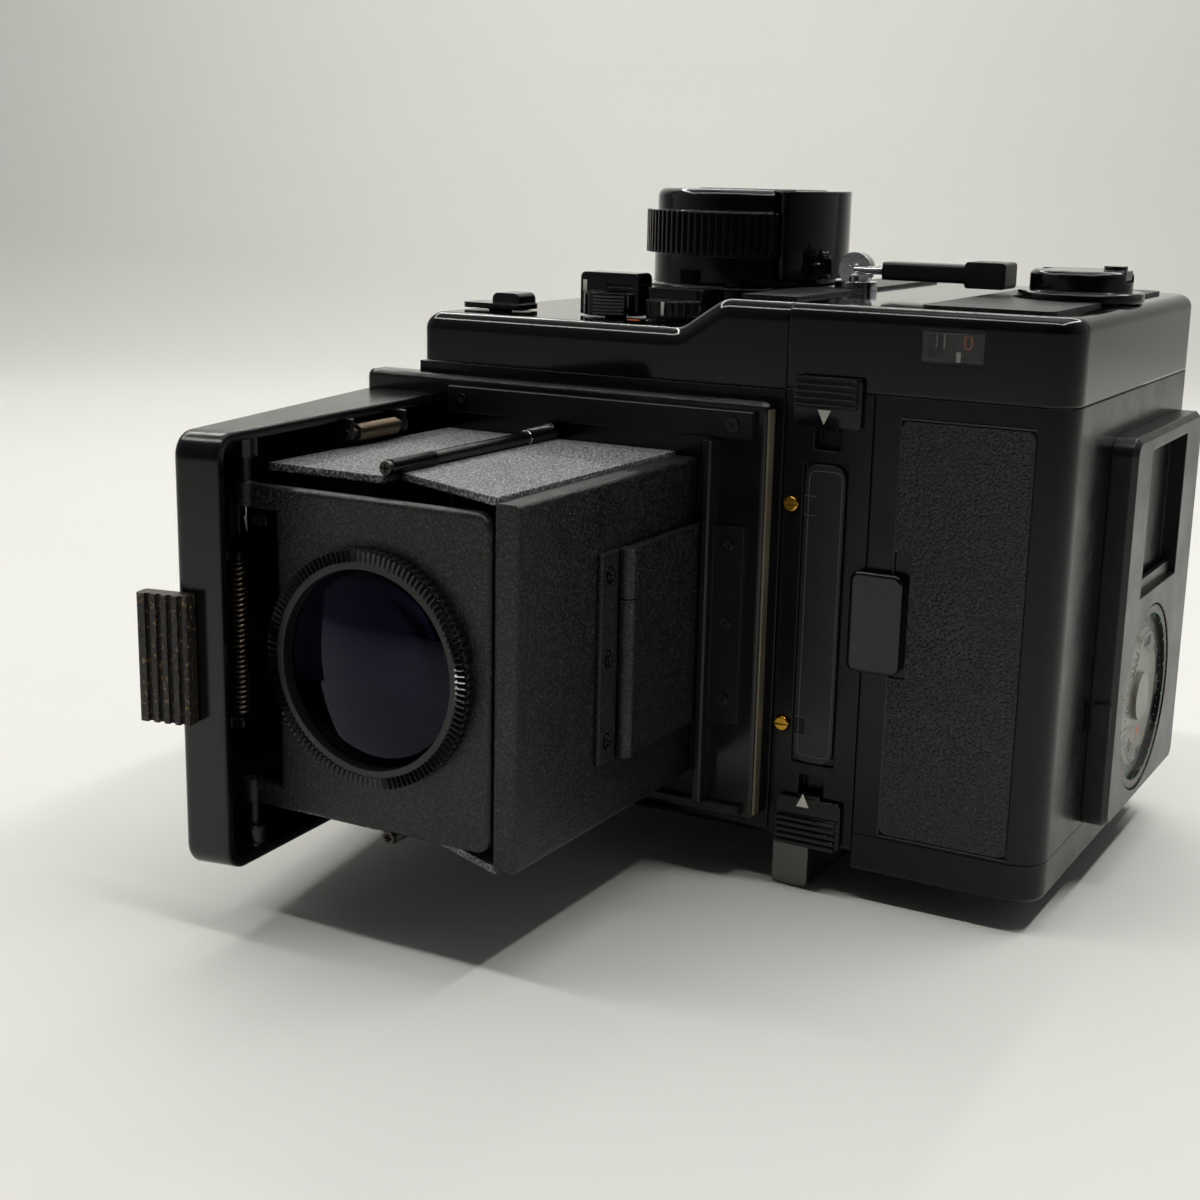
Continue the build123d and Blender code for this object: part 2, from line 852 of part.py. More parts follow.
def make_lid_tab():
    """The grooved thumb tab at the lid's free end."""
    low = tab_centre_z - tab_half_z
    high = tab_centre_z + tab_half_z
    tab = block(-tab_outer, tab_inner, -lid_length - tab_thickness, -lid_length, low, high)
    tab = along(tab, Axis.Z, 0.6)
    for index in range(tab_grooves):
        x = -tab_outer + 1.6 + index * tab_pitch
        tab -= block(
            x, x + tab_groove, -lid_length - tab_thickness - 1.0, -lid_length - tab_thickness + 0.7,
            low - 1.0, high + 1.0,
        )
    return on_lid(tab)


def make_latch():
    """The flat sliding latch inside the lid, with a turned-up lip at two of its corners."""
    x0 = lid_wall + 0.05
    y = lid_frame_point(magnifier_pivot_x, latch_y)[1]
    body = block(
        x0, x0 + latch_thickness, y - 0.5 * latch_width, y + 0.5 * latch_width, latch_z,
        latch_z + latch_length,
    )
    body = along(body, Axis.X, latch_corner)
    edge = y + 0.5 * latch_width
    for z in (latch_z + latch_corner, latch_z + latch_length - latch_corner - latch_lip):
        body += block(
            x0, x0 + latch_thickness + latch_lip_height, edge - latch_thickness, edge, z, z + latch_lip,
        )
    return on_lid(body)


def spring_frame_y():
    """The spring's line in the lid's own frame."""
    return lid_frame_point(magnifier_pivot_x, spring_y)[1]


def coil_high_z():
    """The upper end of the coil spring."""
    return coil_low_z + coil_pitch * coil_turns + coil_wire + 0.2


def make_latch_spring():
    """The latch's coil spring: one unbroken tube of even turns."""
    x0 = lid_wall + 0.1 + coil_radius + 0.5 * coil_wire
    path = Helix(coil_pitch, coil_pitch * coil_turns, coil_radius)
    section = Plane(origin=path @ 0, z_dir=path % 0) * Circle(0.5 * coil_wire)
    spring = sweep(section, path=path)
    steps = 40 * coil_turns
    points = [path @ (index / steps) for index in range(steps + 1)]
    least = coil_radius
    for index in range(0, steps - 60, 7):
        for shift in range(20, 61):
            least = min(least, (points[index] - points[index + shift]).length)
    print("coil spring's least gap to itself", round(least - coil_wire, 3))
    return on_lid(Pos(x0, spring_frame_y(), coil_low_z + 0.5 * coil_wire + 0.1) * spring)


# Magnifier

def make_magnifier_plate():
    """The plate that carries the magnifier across the hood, with its two arms and pins."""
    y0 = magnifier_pivot_y - 0.5 * magnifier_plate
    y1 = y0 + magnifier_plate
    plate = block(magnifier_front_x, magnifier_rear_x, y0, y1, -magnifier_half_z, magnifier_half_z)
    plate = along(plate, Axis.Y, magnifier_corner)
    plate = fillet(plate.faces().sort_by(Axis.Y)[0].outer_wire().edges(), magnifier_edge)
    pin_end = lid_half_z - lid_wall - 0.4
    for side in (1, -1):
        inner = side * arm_inner_z
        outer = side * magnifier_half_z
        start = (magnifier_pivot_x, magnifier_pivot_y, inner)
        plate += block(magnifier_pivot_x, magnifier_front_x + 3.0, y0, y1, inner, outer)
        plate += rod(start, (0, 0, side), knuckle_radius, magnifier_half_z - arm_inner_z)
        plate += rod(start, (0, 0, side), pivot_radius, pin_end - arm_inner_z)
    return plate - rod((magnifier_x, y0 - 1.0, 0), (0, 1, 0), ring_bore, magnifier_plate + 2.0)


def make_magnifier_ring():
    """The finely ribbed ring round the magnifier's glass."""
    y1 = magnifier_pivot_y - 0.5 * magnifier_plate
    ring = ribbed_disc(
        (magnifier_x, y1, 0), (0, -1, 0), ring_radius, ring_height, ring_ribs, ring_rib_depth
    )
    ring += rod((magnifier_x, y1 - ring_height, 0), (0, -1, 0), ring_radius - 1.8, 0.6)
    return ring - rod((magnifier_x, y1 + 1.0, 0), (0, -1, 0), ring_bore, ring_height + 3.0)


def make_magnifier_glass():
    """The double convex magnifying glass."""
    middle = magnifier_pivot_y
    sag = lens_sphere - math.sqrt(lens_sphere ** 2 - lens_radius ** 2)
    near = Pos(magnifier_x, middle - 0.5 * lens_edge - sag + lens_sphere, 0) * Sphere(lens_sphere)
    far = Pos(magnifier_x, middle + 0.5 * lens_edge + sag - lens_sphere, 0) * Sphere(lens_sphere)
    disc = rod((magnifier_x, middle - 6.0, 0), (0, 1, 0), lens_radius, 12.0)
    return disc & near & far


# Winding knob

def make_winding_knob():
    """The winding knob: collar, ribbed ring and cap, cut away for the folding crank."""
    knob = rod(
        (knob_x, knob_y, high_z + turn_gap), (0, 0, 1), knob_collar_radius, knob_collar_top_z - high_z
    )
    height = knob_ring_top_z - knob_collar_top_z
    knob += ribbed_disc(
        (knob_x, knob_y, knob_collar_top_z), (0, 0, 1), knob_radius, height, knob_ribs, knob_rib_depth
    )
    cap = rod((knob_x, knob_y, knob_ring_top_z), (0, 0, 1), knob_cap_radius, knob_top_z - knob_ring_top_z)
    cap = fillet(cap.edges().sort_by(Axis.Z)[-1], 1.6)
    knob += cap
    pocket = sector(
        knob_x, knob_y, crank_grip_low_z - turn_gap, knob_top_z + 1.0, crank_grip_inner - slide_gap,
        knob_radius + 4.0, crank_grip_angle + 2.0,
    )
    knob -= pocket
    slot = block(
        knob_x - knob_radius - 2.0, knob_x + knob_radius + 2.0, knob_y - crank_half_width - slide_gap,
        knob_y + crank_half_width + slide_gap, knob_ring_top_z - slide_gap, knob_top_z + 1.0,
    )
    knob -= slot
    ear_half = crank_half_width + slide_gap
    for side in (1, -1):
        hole = rod(
            (crank_pivot_x, knob_y + side * (ear_half - 0.5), crank_pivot_z()),
            (0, side, 0), 0.8 + pin_gap, 3.0
        )
        knob -= hole
    stem = rod((knob_x, knob_y, high_z - stem_depth), (0, 0, 1), knob_stem_radius, stem_depth + 2.0)
    return knob + stem


def crank_pivot_z():
    """The height of the folding crank's pivot."""
    return 0.5 * (knob_ring_top_z + knob_top_z)


def make_crank_arm():
    """The folding crank: a flat arm over the knob and a grip down its side."""
    low = knob_ring_top_z + 0.1
    high = knob_top_z - 0.1
    arm = block(
        crank_pivot_x, knob_x + crank_grip_inner + 2.0, knob_y - crank_half_width,
        knob_y + crank_half_width, low, high
    )
    arm += rod(
        (crank_pivot_x, knob_y - crank_half_width, crank_pivot_z()), (0, 1, 0), 0.5 * (high - low),
        2 * crank_half_width
    )
    grip = sector(
        knob_x, knob_y, crank_grip_low_z, high, crank_grip_inner, knob_radius + 0.5, crank_grip_angle
    )
    grip = fillet(grip.edges().filter_by(Axis.Z).sort_by_distance((knob_x + 40.0, knob_y, 60.0))[:2], 1.2)
    arm += grip
    pin_length = 2.0 * crank_half_width + 3.4
    pin = rod((crank_pivot_x, knob_y - 0.5 * pin_length, crank_pivot_z()), (0, 1, 0), 0.8, pin_length)
    return arm + pin


# Small winding-side controls

def make_mirror_lever():
    """The mirror-up lever: a round boss with a tall ribbed wing."""
    z0 = low_z + turn_gap
    boss = rod(
        (mirror_lever_x, mirror_lever_y, z0), (0, 0, 1), mirror_lever_radius, 0.55 * mirror_lever_height
    )
    wing = block(
        mirror_lever_x - mirror_lever_radius, mirror_lever_x + mirror_lever_radius,
        mirror_lever_y - 2.6, mirror_lever_y + 2.6, z0, z0 + mirror_lever_height,
    )
    wing = along(wing, Axis.Y, 1.0, lambda e: e.center().Z > z0 + 1.0)
    for index in range(4):
        z = z0 + 1.5 + 1.2 * index
        wing -= block(
            mirror_lever_x - 0.5, mirror_lever_x + 5.0, mirror_lever_y - 3.6, mirror_lever_y - 2.1,
            z, z + 0.5
        )
    stem = rod(
        (mirror_lever_x, mirror_lever_y, low_z - stem_depth), (0, 0, 1), lever_stem_radius, stem_depth + 2.0
    )
    return boss + wing + stem


def make_exposure_knob():
    """The multiple-exposure knob: a low round knob with a grip bar."""
    z0 = low_z + turn_gap
    knob = ribbed_disc(
        (exposure_knob_x, exposure_knob_y, z0), (0, 0, 1), exposure_knob_radius,
        0.6 * exposure_knob_height, 24, 0.3
    )
    bar = block(
        exposure_knob_x - exposure_knob_radius, exposure_knob_x + exposure_knob_radius,
        exposure_knob_y - 1.8, exposure_knob_y + 1.8, z0, z0 + exposure_knob_height,
    )
    bar = along(bar, Axis.Z, 1.2)
    stem = rod(
        (exposure_knob_x, exposure_knob_y, low_z - stem_depth),
        (0, 0, 1), lever_stem_radius, stem_depth + 2.0
    )
    return knob + bar + stem


def make_release_slide():
    """The lens release slide: a thin plate with a raised thumb rest."""
    z0 = low_z + turn_gap
    x0 = release_slide_x - 0.5 * release_slide_length
    x1 = release_slide_x + 0.5 * release_slide_length
    half = 0.5 * release_slide_width
    plate = block(x0, x1, release_slide_y - half, release_slide_y + half, z0, z0 + 1.0)
    plate = along(plate, Axis.Z, 1.2)
    thumb = block(
        release_slide_x, x1 - 0.6, release_slide_y - half + 0.6, release_slide_y + half - 0.6,
        z0, z0 + release_slide_height,
    )
    thumb = along(thumb, Axis.Y, 1.2, lambda e: e.center().Z > z0 + 1.0)
    foot = block(
        release_slide_x - release_foot_half, release_slide_x + release_foot_half,
        release_slide_y - release_foot_half, release_slide_y + release_foot_half,
        low_z - release_foot_depth, z0 + 0.5
    )
    return plate + thumb + foot


def make_shutter_dial():
    """The shutter speed dial on the left side, on which the camera lies."""
    top = left_z - turn_gap
    dial = ribbed_disc(
        (dial_x, dial_y, top), (0, 0, -1), dial_radius, dial_height - turn_gap, dial_ribs, dial_rib_depth
    )
    dial -= rod((dial_x, dial_y, left_z - dial_height - 1.0), (0, 0, 1), 0.62 * dial_radius, 1.6)
    dial += rod((dial_x, dial_y, left_z - dial_height + 0.2), (0, 0, 1), 0.42 * dial_radius, 2.0)
    stem = rod((dial_x, dial_y, top - 1.0), (0, 0, 1), dial_stem_radius, dial_stem + 1.0)
    return dial + stem


def make_release_button():
    """The shutter release button on the front."""
    rear = front_x - button_travel - slide_gap
    cap = rod((rear - button_cap, button_y, button_z), (1, 0, 0), button_radius, button_cap)
    cap = fillet(cap.edges().sort_by(Axis.X)[0], 0.5)
    return cap + rod((rear - 0.2, button_y, button_z), (1, 0, 0), button_stem_radius, button_stem)


def make_lugs():
    """The chrome strap lugs, one on each side."""
    pieces = []
    for x, y, z, up in ((lug_x, lug_y, high_z, 1), (lug_x - 4.0, lug_y - 12.0, left_z, -1)):
        reach = lug_eye_height if up > 0 else 3.4
        base = rod((x, y, z), (0, 0, up), lug_radius, lug_base_height)
        neck = rod((x, y, z), (0, 0, up), 1.5, lug_base_height + 0.9)
        eye = rod((x, y - 1.2, z + up * reach), (0, 1, 0), lug_ring_radius + 0.7, 2.4)
        if up < 0:
            pieces.append(base + neck)
            continue
        eye -= rod((x, y - 2.0, z + up * reach), (0, 1, 0), lug_wire_radius + 0.3, 4.0)
        pieces.append(base + neck + eye)
    return pieces


def make_strap_link():
    """The strap's end link: a bright hook in the lug's eye and a dark bar with an end block."""
    z = high_z + lug_eye_height
    x_eye = lug_x
    hook = rod((x_eye, lug_y - 3.2, z), (0, 1, 0), lug_wire_radius, 6.4)
    arms = []
    for side in (1, -1):
        y = lug_y + side * 2.4
        arms.append(rod((x_eye, y, z), (1, 0, 0), lug_wire_radius - 0.1, link_start_x - x_eye))
    hook = hook + arms[0] + arms[1]
    low = z - 0.5 * link_bar_height
    bar = block(
        link_start_x, link_block_x, lug_y - link_bar_half_y,
        lug_y + link_bar_half_y, low, low + link_bar_height
    )
    bar = along(bar, Axis.X, 0.6)
    half = link_bar_half_y + 0.5
    end = block(
        link_block_x, link_end_x, lug_y - half, lug_y + half, z - 0.5 * link_block_height,
        z + 0.5 * link_block_height
    )
    end = along(end, Axis.Y, 0.7)
    return hook, bar + end


# Mount cap

def bayonet_sectors(start_x, length, inner, outer, angle, turn):
    """Equal ring sectors round the lens axis."""
    pieces = []
    for count in range(bayonet_lugs):
        part = sector(0, 0, 0, length, inner, outer, angle)
        spun = Rot(0, 0, turn + count * 360.0 / bayonet_lugs) * part
        pieces.append(Pos(start_x, axis_y, 0) * Rot(0, 90, 0) * spun)
    return pieces


def make_mount_cap():
    """The cap that closes the lens mount, with its ribbed rim, its plug and its bayonet lugs."""
    rim = ribbed_disc(
        (mount_cap_front_x, axis_y, 0), (1, 0, 0), mount_cap_radius,
        flange_x - slide_gap - mount_cap_front_x, mount_cap_ribs, mount_cap_rib_depth,
    )
    inside_x = mount_cap_front_x + mount_cap_wall
    rim -= rod((inside_x, axis_y, 0), (1, 0, 0), mount_cap_radius - mount_cap_wall, flange_x - inside_x)
    rim -= rod(
        (mount_cap_front_x - 1.0, axis_y, 0), (1, 0, 0), mount_cap_recess_radius, 1.0 + mount_cap_recess
    )
    plug_radius = bayonet_radius - turn_gap
    lug_end_x = lug_start_x() + bayonet_lug_length
    cap = rim + tube(
        (inside_x - 0.5, axis_y, 0), (1, 0, 0), plug_radius, plug_radius - mount_cap_wall,
        lug_end_x - inside_x + 0.5,
    )
    lugs = bayonet_sectors(
        lug_start_x(), bayonet_lug_length, plug_radius - 0.5 * mount_cap_wall, plug_radius + bayonet_lug,
        bayonet_lug_angle, 0.0,
    )
    for lug in lugs:
        cap += lug
    return cap


def lug_start_x():
    """Where the cap's lugs begin, just behind the mount ring."""
    return front_x + slide_gap


def make_lens_lock():
    """The slide beside the mount that frees the bayonet."""
    low_x = front_x - pin_gap - lock_height
    slide = block(
        low_x, front_x - pin_gap, axis_y - lock_half_y, axis_y + lock_half_y, lock_low_z, lock_high_z
    )
    slide = along(slide, Axis.X, 0.8)
    middle_z = 0.5 * (lock_low_z + lock_high_z)
    for count in range(5):
        y = axis_y + (count - 2) * 1.6
        slide -= block(low_x - 1.0, low_x + 0.5, y - 0.35, y + 0.35, lock_low_z - 1.0, lock_high_z + 1.0)
    return slide + block(
        front_x - 1.0, front_x + lock_stem, axis_y - lock_stem_half_y, axis_y + lock_stem_half_y,
        middle_z - lock_stem_half_z, middle_z + lock_stem_half_z,
    )


# Film back

def make_back_frame():
    """The film back's front frame, with the film gate, the dark slide's slot and the door's ear."""
    frame = block(rear_x + panel_gap, frame_rear_x, back_top_y, back_base_y, left_z, cap_low_z - panel_gap)
    frame = along(frame, Axis.X, 2.0, lambda e: e.center().Z < 0)
    half = 0.5 * frame_size
    frame -= block(rear_x, film_x + 0.1, axis_y - half, axis_y + half, -half, half)
    frame -= block(
        film_x, frame_rear_x + 1.0, axis_y - half - 2.0, axis_y + half + 2.0, -half - 3.0, half + 3.0
    )
    frame -= block(
        slide_x - 0.5 * slide_sheet - 0.1, slide_x + 0.5 * slide_sheet + 0.1,
        axis_y - slide_half_y - 0.2, axis_y + slide_half_y + 0.2, left_z - 1.0, half + 2.4,
    )
    upper_foot = catch_upper_z - catch_foot_shift
    lower_foot = catch_lower_z + catch_foot_shift
    for z, low, high in ((upper_foot, catch_travel, 0), (lower_foot, 0, catch_travel)):
        frame -= block(
            catch_x - catch_stem - slide_gap, catch_x + catch_stem + slide_gap, back_top_y - 1.0,
            back_top_y + catch_foot_depth + slide_gap, z - catch_slot_half - low,
            z + catch_slot_half + high,
        )
    frame -= block(
        catch_x - name_half_x - slide_gap, catch_x + name_half_x + slide_gap, back_top_y - 1.0,
        back_top_y + name_depth,
        name_low_z - slide_gap, name_high_z + slide_gap,
    )
    for z in pin_z_values:
        frame -= rod((pin_x, back_top_y - 1.0, z), (0, 1, 0), pin_radius + 0.1, pin_depth + 1.0)
    frame -= block(
        frame_rear_x - latch_hook, frame_rear_x + 1.0, back_top_y - 1.0,
        back_top_y + latch_hook_depth + slide_gap,
        latch_foot_low_z - slide_gap, latch_foot_high_z + latch_bar_travel + slide_gap,
    )
    ear_low = end_cap_low_z + 0.4
    ear = block(
        frame_rear_x - 5.0, door_pivot_x(), door_pivot_y() - door_round,
        door_pivot_y() + door_round, ear_low, left_z - 0.2
    )
    ear += block(
        frame_rear_x - 5.0, frame_rear_x, door_pivot_y() - door_round, door_pivot_y() + door_round,
        ear_low, left_z + 1.0
    )
    ear += rod((door_pivot_x(), door_pivot_y(), ear_low), (0, 0, 1), door_round, left_z - 0.2 - ear_low)
    ear += rod(
        (door_pivot_x(), door_pivot_y(), ear_low), (0, 0, 1),
        hinge_pin_radius, left_z + hinge_pin_length - ear_low
    )
    return frame + ear


def make_name_strip():
    """The bare nameplate strip between the two catches."""
    strip = block(
        catch_x - name_half_x, catch_x + name_half_x, back_top_y - 0.3, back_top_y + name_depth,
        name_low_z, name_high_z
    )
    return along(strip, Axis.Y, 2.2)


def make_contact_pins():
    """The two slotted brass pins beside the nameplate."""
    pins = []
    for z in pin_z_values:
        pin = rod((pin_x, back_top_y + pin_depth, z), (0, -1, 0), pin_radius, pin_depth + 0.9)
        pin = fillet(pin.edges().sort_by(Axis.Y)[0], 0.3)
        slot = block(pin_x - 2.0, pin_x + 2.0, back_top_y - 1.2, back_top_y - 0.6, z - 0.2, z + 0.2)
        pins.append(pin - slot)
    return pins


def make_catch(z, sign):
    """One of the two ribbed catches that hold the film back to the body."""
    y1 = back_top_y - 0.15
    plate = block(
        catch_x - catch_half_x, catch_x + catch_half_x, y1 - 0.9, y1, z - 0.5 * catch_length,
        z + 0.5 * catch_length
    )
    plate = along(plate, Axis.Y, 0.8)
    outer = z + sign * 0.5 * catch_length
    plate += block(
        catch_x - catch_half_x + 0.6, catch_x + catch_half_x - 0.6, y1 - catch_height, y1 - 0.5,
        outer, outer - sign * 5.0
    )
    for index in range(catch_ribs):
        start = outer - sign * (0.7 + 1.1 * index)
        plate -= block(
            catch_x - catch_half_x, catch_x + catch_half_x, y1 - catch_height - 1.0,
            y1 - catch_height + 0.5,
            start, start - sign * 0.5,
        )
    return plate + block(
        catch_x - catch_stem, catch_x + catch_stem, y1 - 0.5, back_top_y + catch_foot_depth,
        z - sign * catch_foot_shift - catch_foot_half, z - sign * catch_foot_shift + catch_foot_half,
    )


def make_back_cap():
    """The glossy winding-side cap of the film back, with the counter's window opening."""
    cap = block(rear_x + panel_gap, back_rear_x, back_top_y, back_base_y, cap_low_z, cap_high_z)
    cap = along(cap, Axis.Z, back_corner, lambda e: e.center().X > back_rear_x - 1.0)
    top = cap.faces().sort_by(Axis.Z)[-1]
    cap = fillet(
        top.edges().filter_by(lambda e: e.center().Y < back_base_y - 10.0 and e.center().X > rear_x + 3.0),
        2.4
    )
    cap -= block(
        window_x - window_half_x, window_x + window_half_x, back_top_y - 1.0, back_top_y + window_depth,
        window_low_z, window_high_z,
    )
    cap -= rod(
        (counter_x, counter_y, window_low_z - 2.0), (0, 0, 1), counter_radius + counter_gap,
        window_high_z - window_low_z + 3.0,
    )
    cap -= block(
        window_x - window_half_x + 0.8, window_x + window_half_x - 0.8, back_top_y - 1.0, counter_y,
        window_low_z + 0.6, window_high_z - 0.6,
    )
    cap -= rod((crank_x, crank_y, cap_high_z - 4.0), (0, 0, 1), 3.0 + pin_gap, 6.0)
    pivot = (door_pivot_x(), door_pivot_y(), cap_low_z - hinge_pin_length)
    return cap + rod(pivot, (0, 0, 1), hinge_pin_radius, hinge_pin_length + 1.0)


def make_counter_window():
    """The clear window over the frame counter."""
    return block(
        window_x - window_half_x + 0.1, window_x + window_half_x - 0.1, back_top_y,
        back_top_y + window_depth - 0.1,
        window_low_z + 0.1, window_high_z - 0.1,
    )


def make_counter_drum():
    """The frame counter's drum behind the window."""
    length = window_high_z - window_low_z + 3.0 - 2.0 * slide_gap
    return rod((counter_x, counter_y, window_low_z - 2.0 + slide_gap), (0, 0, 1), counter_radius, length)


def make_cap_leather():
    """The textured inlay on the film back's winding side."""
    inlay = block(
        frame_rear_x + leather_margin + 0.7, back_rear_x - back_corner - panel_gap,
        back_top_y + inlay_margin, back_base_y - inlay_margin, cap_high_z, cap_high_z + leather_depth,
    )
    inlay = along(inlay, Axis.Z, 2.0)
    return inlay - rod((crank_x, crank_y, cap_high_z), (0, 0, 1), crank_flange_radius + 0.6, 3.0)


def make_film_crank():
    """The film crank's flange and knob."""
    z0 = cap_high_z + turn_gap
    flange = rod((crank_x, crank_y, z0), (0, 0, 1), crank_flange_radius, crank_flange_height)
    flange = fillet(flange.edges().sort_by(Axis.Z)[-1], 0.6)
    knob = rod((crank_x, crank_y, z0), (0, 0, 1), crank_knob_radius, crank_knob_height)
    knob = fillet(knob.edges().sort_by(Axis.Z)[-1], 1.2)
    knob -= block(
        crank_x - crank_knob_radius - 1.0, crank_x + crank_knob_radius + 1.0,
        crank_y - crank_bar_half_width - slide_gap, crank_y + crank_bar_half_width + slide_gap,
        z0 + crank_knob_height - crank_bar_height - slide_gap, z0 + crank_knob_height + 1.0,
    )
    for side in (1, -1):
        start = (film_pivot_x(), crank_y + side * (crank_bar_half_width + slide_gap - 0.3), film_pivot_z())
        knob -= rod(start, (0, side, 0), 0.5 + pin_gap, 1.8)
    stem = rod((crank_x, crank_y, cap_high_z - 3.6), (0, 0, 1), 3.0, 5.0)
    return flange + knob + stem


def film_pivot_x():
    """The folding film crank's pivot line."""
    return crank_x - crank_knob_radius + 3.0


def film_pivot_z():
    """The height of the folding film crank's pivot."""
    return cap_high_z + turn_gap + crank_knob_height - 0.5 * crank_bar_height


def make_film_crank_bar():
    """The folding bar of the film crank."""
    top = cap_high_z + turn_gap + crank_knob_height
    low = top - crank_bar_height
    bar = block(
        film_pivot_x(), crank_x + crank_knob_radius - 0.6, crank_y - crank_bar_half_width,
        crank_y + crank_bar_half_width,
        low, top,
    )
    bar += rod(
        (film_pivot_x(), crank_y - crank_bar_half_width, film_pivot_z()), (0, 1, 0), 0.5 * crank_bar_height,
        2.0 * crank_bar_half_width,
    )
    bar += rod((crank_x + crank_knob_radius - 3.0, crank_y, top - 0.2), (0, 0, 1), 2.0, 1.0)
    half = crank_bar_half_width + slide_gap + 1.2
    return bar + rod((film_pivot_x(), crank_y - half, film_pivot_z()), (0, 1, 0), 0.5, 2.0 * half)


def door_pivot_x():
    """The film door's hinge line, just behind the frame."""
    return frame_rear_x + panel_gap + door_round


def door_pivot_y():
    """The height of the film door's hinge line."""
    return back_base_y - door_round


def make_door():
    """The hinged film door: an open box with rounded rear corners."""
    low = end_cap_high_z + 0.1
    high = cap_low_z - panel_gap
    door = door_blank(low, high)
    door -= door_room(low - 1.0, high - door_wall)
    door -= block(
        frame_rear_x, latch_bar_x + latch_hook + slide_gap, back_top_y - 1.0,
        back_top_y + latch_hook_depth + slide_gap, latch_foot_low_z - slide_gap,
        latch_foot_high_z + latch_bar_travel + slide_gap,
    )
    return door - rod(
        (door_pivot_x(), door_pivot_y(), low - 1.0), (0, 0, 1), hinge_pin_radius + pin_gap, high - low + 2.0
    )


def door_blank(low, high):
    """The door's outer form between two heights."""
    x0 = frame_rear_x + panel_gap
    solid = block(x0, back_rear_x, back_top_y, back_base_y, low, high)
    solid = along(solid, Axis.Z, back_corner, lambda e: e.center().X > back_rear_x - 1.0)
    near = solid.edges().filter_by(Axis.Z)
    near = near.filter_by(lambda e: e.center().X < x0 + 0.5 and e.center().Y > back_base_y - 0.5)
    return fillet(near, door_round - 0.05)


def door_room(low, high):
    """The film chamber inside the door between two heights."""
    room = block(
        frame_rear_x, back_rear_x - door_wall, back_top_y + door_wall,
        back_base_y - 2.0 * door_round - 0.2, low, high,
    )
    return along(room, Axis.Z, back_corner - door_wall, lambda e: e.center().X > back_rear_x - 3.0)


def make_door_end():
    """The door's left end cap, notched for the frame's hinge ear."""
    cap = door_blank(end_cap_low_z, end_cap_high_z)
    low = cap.faces().sort_by(Axis.Z)[0]
    cap = fillet(low.edges().filter_by(lambda e: e.center().X > frame_rear_x + 3.0), 1.2)
    cap -= door_room(end_cap_low_z + end_cap_floor, end_cap_high_z + 1.0)
    pivot = (door_pivot_x(), door_pivot_y(), end_cap_low_z - 1.0)
    ear_top = left_z - 0.2 + slide_gap
    cap -= rod(pivot, (0, 0, 1), door_round + 2.0 * turn_gap, ear_top - end_cap_low_z + 1.0)
    cap -= block(
        frame_rear_x, door_pivot_x(), door_pivot_y() - door_round - turn_gap, back_base_y + 1.0,
        end_cap_low_z - 1.0, ear_top,
    )
    return cap - rod(pivot, (0, 0, 1), hinge_pin_radius + pin_gap, 20.0)


def make_door_leather():
    """The leatherette on the door's upper face."""
    panel = block(
        frame_rear_x + leather_margin + 0.9, back_rear_x - back_corner, back_top_y - leather_depth,
        back_top_y,
        end_cap_high_z + 1.0, cap_low_z - 3.9,
    )
    panel = along(panel, Axis.Y, 1.5)
    return panel - block(
        latch_bar_x - latch_bar_half_x - 0.6, latch_bar_x + latch_bar_half_x + 0.6,
        back_top_y - 2.0, back_top_y + 1.0,
        latch_bar_low_z - 0.6, latch_bar_high_z + latch_bar_travel + 0.6,
    )


def make_door_latch():
    """The sliding door latch over the seam."""
    y1 = back_top_y - 0.15
    bar = block(
        latch_bar_x - latch_bar_half_x, latch_bar_x + latch_bar_half_x, y1 - latch_bar_height, y1,
        latch_bar_low_z, latch_bar_high_z,
    )
    bar = along(bar, Axis.Y, 1.6)
    bar = fillet(bar.faces().sort_by(Axis.Y)[0].outer_wire().edges(), 0.6)
    return bar + block(
        frame_rear_x - latch_hook + slide_gap, latch_bar_x + latch_hook, y1 - 0.2,
        back_top_y + latch_hook_depth,
        latch_foot_low_z, latch_foot_high_z,
    )


def make_holder():
    """The memo holder's frame on the door's rear face."""
    frame = block(back_rear_x, holder_rear_x, holder_top_y, holder_base_y, holder_low_z, holder_high_z)
    frame = along(frame, Axis.X, 3.0)
    frame = chamfer(frame.faces().sort_by(Axis.X)[-1].outer_wire().edges(), 0.9)
    frame -= block(
        back_rear_x + holder_floor, holder_rear_x + 1.0, holder_window_top_y, holder_window_base_y,
        holder_window_low_z, holder_window_high_z,
    )
    frame -= rod((dial_floor_x(), speed_y, speed_z), (1, 0, 0), speed_ring_radius + turn_gap, 10.0)
    return frame - rod((back_rear_x - 1.0, speed_y, speed_z), (1, 0, 0), speed_shaft_radius + pin_gap, 4.0)


def dial_floor_x():
    """The floor of the film speed dial's recess."""
    return back_rear_x + holder_floor


def make_memo_clip():
    """The spring clip in the memo window and the thumb clip on the near edge."""
    x0 = back_rear_x + holder_floor
    top = holder_window_top_y + 0.4
    base = holder_window_base_y - 0.4
    web = block(x0, x0 + 1.8, top, base, holder_window_low_z, holder_window_low_z + 0.8)
    lip = block(x0 + 1.0, x0 + 1.8, top, base, holder_window_low_z, holder_window_low_z + 2.4)
    thumb = block(back_rear_x + 0.6, holder_rear_x - 0.6, holder_top_y - 1.0, holder_top_y, -17.4, -11.8)
    return web + lip, along(thumb, Axis.Y, 0.8)


def make_speed_dial():
    """The film speed dial's pale face and its shaft."""
    x0 = dial_floor_x() + turn_gap
    disc = rod((x0, speed_y, speed_z), (1, 0, 0), speed_radius, speed_height)
    disc += rod((back_rear_x + 0.2, speed_y, speed_z), (1, 0, 0), speed_shaft_radius, holder_floor + 1.0)
    return disc + rod((x0 + speed_height - 0.2, speed_y, speed_z), (1, 0, 0), 4.4, 1.0)


